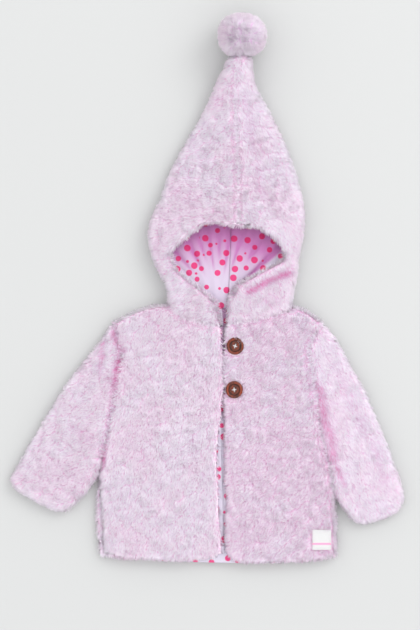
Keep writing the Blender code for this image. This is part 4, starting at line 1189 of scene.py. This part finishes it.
def pleats(points):
    """How deep the fanned pleats sink the hood's lining, and how much painted pink shade it takes
    in their valleys, towards the upper lip and to one side.
    """
    away = points[:, :2] - THROAT
    angle = np.degrees(np.arctan2(away[:, 1], away[:, 0]))
    reach = np.hypot(away[:, 0], away[:, 1])
    depth = np.zeros(len(points))
    fold = np.zeros(len(points))
    for middle, width, sink, start in zip(*PLEATS.values()):
        valley = np.exp(-(((angle - middle) / (0.5 * width)) ** 2))
        valley *= fade(reach, start * MM, (start + 25) * MM)
        depth += valley * 1.3 * sink * MM
        fold = np.maximum(fold, valley * sink / 1.8)
    high = fade(points[:, 1], 198 * MM, 290 * MM)
    beside = fade(points[:, 0], 10 * MM, 70 * MM) * fade(points[:, 1], 200 * MM, 250 * MM)
    rolled_out = np.maximum(fade(angle, 137, 142), fade(-angle, -42, -38))
    rolled_out = rolled_out * fade(reach, 12 * MM, 25 * MM)
    # Painted pink shade towards the upper lip, to one side and in the pleats' valleys, less where
    # the lining rolls out.
    painted_shade = 0.14 + high + 0.35 * beside + 0.6 * fold
    return depth, np.clip(painted_shade * (1 - 0.9 * rolled_out), 0, 1)


# From y to y along the right front's edge, and how thick the cotton is rolled there.
ROLLED_EDGES = ((134, 106, 0.9), (101, 30, 1.2))
EDGE_NODE = "front_right"
PROBE_HEIGHT = 9.5 * MM
ROLL_INSET = 1.0 * MM
ROLL_HEIGHT = 11.0 * MM


def rolled_edge(top, bottom):
    """Points along the upper rim of the right front's edge, from top to bottom."""
    tree, _ = frame_surface([EDGE_NODE])
    _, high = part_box(EDGE_NODE)
    route = []
    for y in np.linspace(top, bottom, 24):
        hit = tree.ray_cast(Vector((high.x + 5 * MM, y, PROBE_HEIGHT)), Vector((-1, 0, 0)))[0]
        route.append((hit.x - ROLL_INSET, y, ROLL_HEIGHT))
    return route


class JACKET_OT_lining(bpy.types.Operator):
    """Builds the dotted cotton in the hood, between the fronts and along their edge"""

    bl_idname = "jacket.lining"
    bl_label = "Dotted lining"

    def execute(self, context):
        cotton = cached("dotted cotton", dotted_cotton)
        edge = bmesh.new()
        for start, end, radius in ROLLED_EDGES:
            route = rolled_edge(start * MM, end * MM)
            tube_mesh(edge, route, radius * MM, sides=12, taper=True)
        roll = piece_of(edge, "cotton_rolled_edge")
        smooth_faces(roll)
        dress(roll, cotton, "lining")
        for node in COTTON_NODES:
            piece = merged_copy("cotton_" + node, node)
            mesh = bmesh.new()
            mesh.from_mesh(piece.data)
            bmesh.ops.join_triangles(
                mesh,
                faces=mesh.faces,
                angle_face_threshold=math.radians(30),
                angle_shape_threshold=math.radians(60),
            )
            crease = mesh.edges.layers.float.new("crease_edge")
            for edge in mesh.edges:
                if len(edge.link_faces) == 2 and edge.calc_face_angle() > math.radians(SHARP_EDGE):
                    edge[crease] = 1.0
            mesh.to_mesh(piece.data)
            mesh.free()
            levels = 1 if node == "back_lining" else 2
            modify(piece, "SUBSURF", levels=levels, render_levels=levels)
            points, _ = corners(piece)
            if node.startswith("hood"):
                depth, painted_shade = pleats(points)
                points[:, 2] -= depth
                place_corners(piece, points)
            else:
                # Painted pink shade on the cotton between the fronts, deeper towards the neck.
                painted_shade = 0.7 * fade(points[:, 1], 15 * MM, 45 * MM)
            mark(piece, "painted_shade", painted_shade)
            keep_above_floor(piece)
            smooth_faces(piece, sharp=SHARP_EDGE)
            dress(piece, cotton, "lining", node)
        return {"FINISHED"}


# ---------------------------------------------------------------- buttons, loops and label


BUTTON = table(
    "radius height groove",
    (0.0, 2.3, 0.15),
    (3.0, 2.3, 0.1),
    (5.4, 2.4, 0.35),
    (6.7, 2.2, 1.0),
    (7.3, 3.0, 0.8),
    (8.0, 4.1, 0.05),
    (8.9, 4.4, 0.0),
    (9.8, 4.25, 0.0),
    (10.7, 3.6, 0.1),
    (11.2, 2.6, 0.25),
    (11.25, 1.8, 0.3),
    (10.7, 0.7, 0.4),
    (9.4, 0.1, 0.5),
    (8.6, 0.0, 0.5),
)
BUTTON_TURNS = 64
HOLE_OFFSET = 1.9 * MM
HOLE_REACH = HOLE_OFFSET * 1.4
HOLE_RADIUS = 1.0 * MM
# How the three threads of each stitch lie beside each other, and their thickness.
STRANDS = (-0.45 * MM, 0.0, 0.45 * MM)
STRAND_RADIUS = 0.3 * MM


def turned(name, section, sides):
    """A closed turned piece on the Z axis from a table of radius, height and groove."""
    mesh = bmesh.new()
    layer = mesh.verts.layers.float.new("groove")
    angles = np.arange(sides) * 2 * math.pi / sides
    rings = []
    for radius, height, groove in zip(section["radius"], section["height"], section["groove"]):
        spots = [(0.0, 0.0)]
        if radius:
            spots = [(radius * math.cos(a), radius * math.sin(a)) for a in angles]
        ring = []
        for x, y in spots:
            vertex = mesh.verts.new((x * MM, y * MM, height * MM))
            vertex[layer] = groove
            ring.append(vertex)
        rings.append(ring)
    for inner, outer in zip(rings, rings[1:]):
        for i in range(sides):
            j = (i + 1) % sides
            if len(inner) == 1:
                mesh.faces.new((inner[0], outer[i], outer[j]))
            else:
                mesh.faces.new((inner[i], outer[i], outer[j], inner[j]))
    mesh.faces.new(rings[-1])
    bmesh.ops.recalc_face_normals(mesh, faces=mesh.faces)
    return piece_of(mesh, name)


class JACKET_OT_buttons(bpy.types.Operator):
    """Builds the two turned wooden buttons and the thread that holds them"""

    bl_idname = "jacket.buttons"
    bl_label = "Wooden buttons"

    def execute(self, context):
        wood = cached("turned wood", turned_wood)
        for node, turn in (("button_upper", 0.5), ("button_lower", 0.9)):
            low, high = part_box(node)
            button = turned("wood_" + node, BUTTON, BUTTON_TURNS)
            cutter = bmesh.new()
            for quarter in range(4):
                angle = math.pi * (quarter + 0.5) / 2
                spot = (HOLE_REACH * math.cos(angle), HOLE_REACH * math.sin(angle), 0)
                bmesh.ops.create_cone(
                    cutter,
                    cap_ends=True,
                    segments=20,
                    radius1=HOLE_RADIUS,
                    radius2=HOLE_RADIUS,
                    depth=20 * MM,
                    matrix=Matrix.Translation(spot),
                )
            holes = piece_of(cutter, "holes")
            modify(button, "BOOLEAN", object=holes, operation="DIFFERENCE", solver="EXACT")
            bpy.data.objects.remove(holes)
            sewing = bmesh.new()
            for strand in STRANDS:
                for across in (1, -1):
                    path = []
                    for share in np.linspace(-1, 1, 9):
                        sag = (2.85 - 1.9 * abs(share) ** 6) * MM
                        x = share * HOLE_OFFSET + strand * across * 0.7
                        y = across * share * HOLE_OFFSET - strand * 0.7
                        path.append((x, y, sag + (0.25 * MM if across > 0 else 0)))
                    tube_mesh(sewing, path, STRAND_RADIUS)
            cross = piece_of(sewing, "thread_" + node)
            place = Matrix.Translation(((low.x + high.x) / 2, (low.y + high.y) / 2, low.z))
            for piece in (button, cross):
                piece.data.transform(place @ Matrix.Rotation(turn, 4, "Z"))
                smooth_faces(piece)
            button.data.set_sharp_from_angle(angle=math.radians(SHARP_EDGE))
            dress(button, wood, "button_wood", node)
            dress(cross, cached("thread", thread), "elastic")
        for node in ("button_loop_upper", "button_loop_lower"):
            loop = merged_copy("cord_" + node, node)
            modify(loop, "SUBSURF", levels=2, render_levels=2)
            smooth_faces(loop)
            dress(loop, cached("thread", thread), "elastic", node)
        return {"FINISHED"}


class JACKET_OT_label(bpy.types.Operator):
    """Builds the small woven label with its stitched border"""

    bl_idname = "jacket.label"
    bl_label = "Woven label"

    def execute(self, context):
        piece = merged_copy("tape_label", "label")
        points, _ = corners(piece)
        middle = (points.max(0) + points.min(0)) / 2
        ring = points[points[:, 2] > middle[2] - 2 * MM]
        corner = ring[np.argmin(ring[:, 0] + ring[:, 1])]
        other = ring[np.argmax(ring[:, 0] - ring[:, 1])]
        across = other - corner
        turn = math.atan2(across[1], across[0])
        axes = np.array([[math.cos(turn), math.sin(turn)], [-math.sin(turn), math.cos(turn)]])
        modify(piece, "SUBSURF", subdivision_type="SIMPLE", levels=2, render_levels=2)
        points, _ = corners(piece)
        own = (points[:, :2] - middle[:2]) @ axes.T
        reach = np.abs(own).max(0)
        uv = own / (2 * reach) + 0.5
        layer = piece.data.uv_layers.new(name="OFBake")
        loops = np.empty(len(piece.data.loops), int)
        piece.data.loops.foreach_get("vertex_index", loops)
        layer.data.foreach_set("uv", uv[loops].ravel())
        smooth_faces(piece)
        piece.data.set_sharp_from_angle(angle=math.radians(40))
        dress(piece, cached("woven label", woven_label), "label_tape", "label")
        tree = BVHTree.FromObject(piece, bpy.context.evaluated_depsgraph_get())
        path = bmesh.new()
        spots = []
        inset = reach - 1.6 * MM
        square = np.array([(-1, -1), (1, -1), (1, 1), (-1, 1), (-1, -1)])
        for a, b in zip(square, square[1:]):
            for share in np.linspace(0, 1, 12)[:-1]:
                flat = (a * (1 - share) + b * share) * inset
                x, y = flat @ axes + middle[:2]
                hit = tree.ray_cast(Vector((x, y, 0.2)), Vector((0, 0, -1)))[0]
                spots.append(path.verts.new((x, y, hit.z + 0.12 * MM)))
        for one, two in zip(spots, spots[1:] + spots[:1]):
            path.edges.new((one, two))
        border = piece_of(path, "border")
        white = cached("thread", thread)
        stitches = cached("Stitches", stitch_tree, "node_groups")
        sewn = grow("stitches_label", border, stitches, Material=white)
        bpy.data.objects.remove(border)
        dress(sewn, white, "label_tape")
        return {"FINISHED"}


# ---------------------------------------------------------------- stage


LAMP_SIZE = (2.6, 2.0)
LAMP_PLACE = (2.6, 2.3, 2.9)
LAMP_AIM = (-0.01, 0.18, 0.0)
# The photo's middle, what its longer side shows, and the level at which the two scales agree.
PHOTO_MIDDLE = (-0.0104, 0.1625)
SEEN_LENGTH = 0.819
MATCHED_LEVEL = 0.012


class JACKET_OT_stage(bpy.types.Operator):
    """Builds the pale floor, the soft light and the camera straight above"""

    bl_idname = "jacket.stage"
    bl_label = "Floor, light and camera"

    def execute(self, context):
        settings = context.scene.jacket_stage
        scene = context.scene
        scene.view_settings.view_transform = "Standard"
        mesh = bmesh.new()
        bmesh.ops.create_grid(mesh, x_segments=8, y_segments=8, size=4.0)
        floor = piece_of(mesh, "floor")
        floor.data.transform(Matrix.Translation((0, 0, -0.2 * MM)))
        paper, graph = shader("pale floor", 0.9)
        graph.feed("Base Color", tuple(settings.floor_colour))
        floor.data.materials.append(paper)

        world = bpy.data.worlds.new("room")
        world.use_nodes = True
        scene.world = world
        room = world.node_tree.nodes["Background"]
        room.inputs["Color"].default_value = linear(255, 255, 255)
        room.inputs["Strength"].default_value = settings.sky_strength

        lamp = bpy.data.lights.new("window", "AREA")
        lamp.shape = "RECTANGLE"
        lamp.size, lamp.size_y = LAMP_SIZE
        lamp.energy = settings.key_power
        window = bpy.data.objects.new("window", lamp)
        window.location = LAMP_PLACE
        aim = Vector(LAMP_AIM) - window.location
        window.rotation_euler = aim.to_track_quat("-Z", "Y").to_euler()
        scene.collection.objects.link(window)

        lens = bpy.data.cameras.new("camera")
        lens.sensor_width = 36.0
        lens.lens = lens.sensor_width * (settings.camera_height - MATCHED_LEVEL) / SEEN_LENGTH
        lens.clip_start = 0.05
        lens.clip_end = 50.0
        camera = bpy.data.objects.new("camera", lens)
        camera.location = (*PHOTO_MIDDLE, settings.camera_height)
        scene.collection.objects.link(camera)
        scene.camera = camera
        return {"FINISHED"}


# ---------------------------------------------------------------- add-on


GROUPS = {
    "jacket_plush": JACKET_PG_plush,
    "jacket_lining": JACKET_PG_lining,
    "jacket_trim": JACKET_PG_trim,
    "jacket_stage": JACKET_PG_stage,
}
OPERATORS = (
    JACKET_OT_plush,
    JACKET_OT_pompom,
    JACKET_OT_lining,
    JACKET_OT_buttons,
    JACKET_OT_label,
    JACKET_OT_stage,
)


class JACKET_PT_panel(bpy.types.Panel):
    """Sizes, colours and pieces of the jacket"""

    bl_label = "Jacket"
    bl_idname = "JACKET_PT_panel"
    bl_space_type = "VIEW_3D"
    bl_region_type = "UI"
    bl_category = "Jacket"

    def draw(self, context):
        for name, settings in GROUPS.items():
            box = self.layout.box()
            for field in settings.__annotations__:
                box.prop(getattr(context.scene, name), field)
        for operator in OPERATORS:
            self.layout.operator(operator.bl_idname)


def register():
    for item in (*GROUPS.values(), *OPERATORS, JACKET_PT_panel):
        bpy.utils.register_class(item)
    for name, settings in GROUPS.items():
        setattr(bpy.types.Scene, name, bpy.props.PointerProperty(type=settings))


def unregister():
    for name in GROUPS:
        delattr(bpy.types.Scene, name)
    for item in (JACKET_PT_panel, *OPERATORS, *reversed(GROUPS.values())):
        bpy.utils.unregister_class(item)


def main():
    register()
    bpy.ops.jacket.plush()
    bpy.ops.jacket.pompom()
    bpy.ops.jacket.lining()
    bpy.ops.jacket.buttons()
    bpy.ops.jacket.label()
    bpy.ops.jacket.stage()


if __name__ == "__main__":
    main()
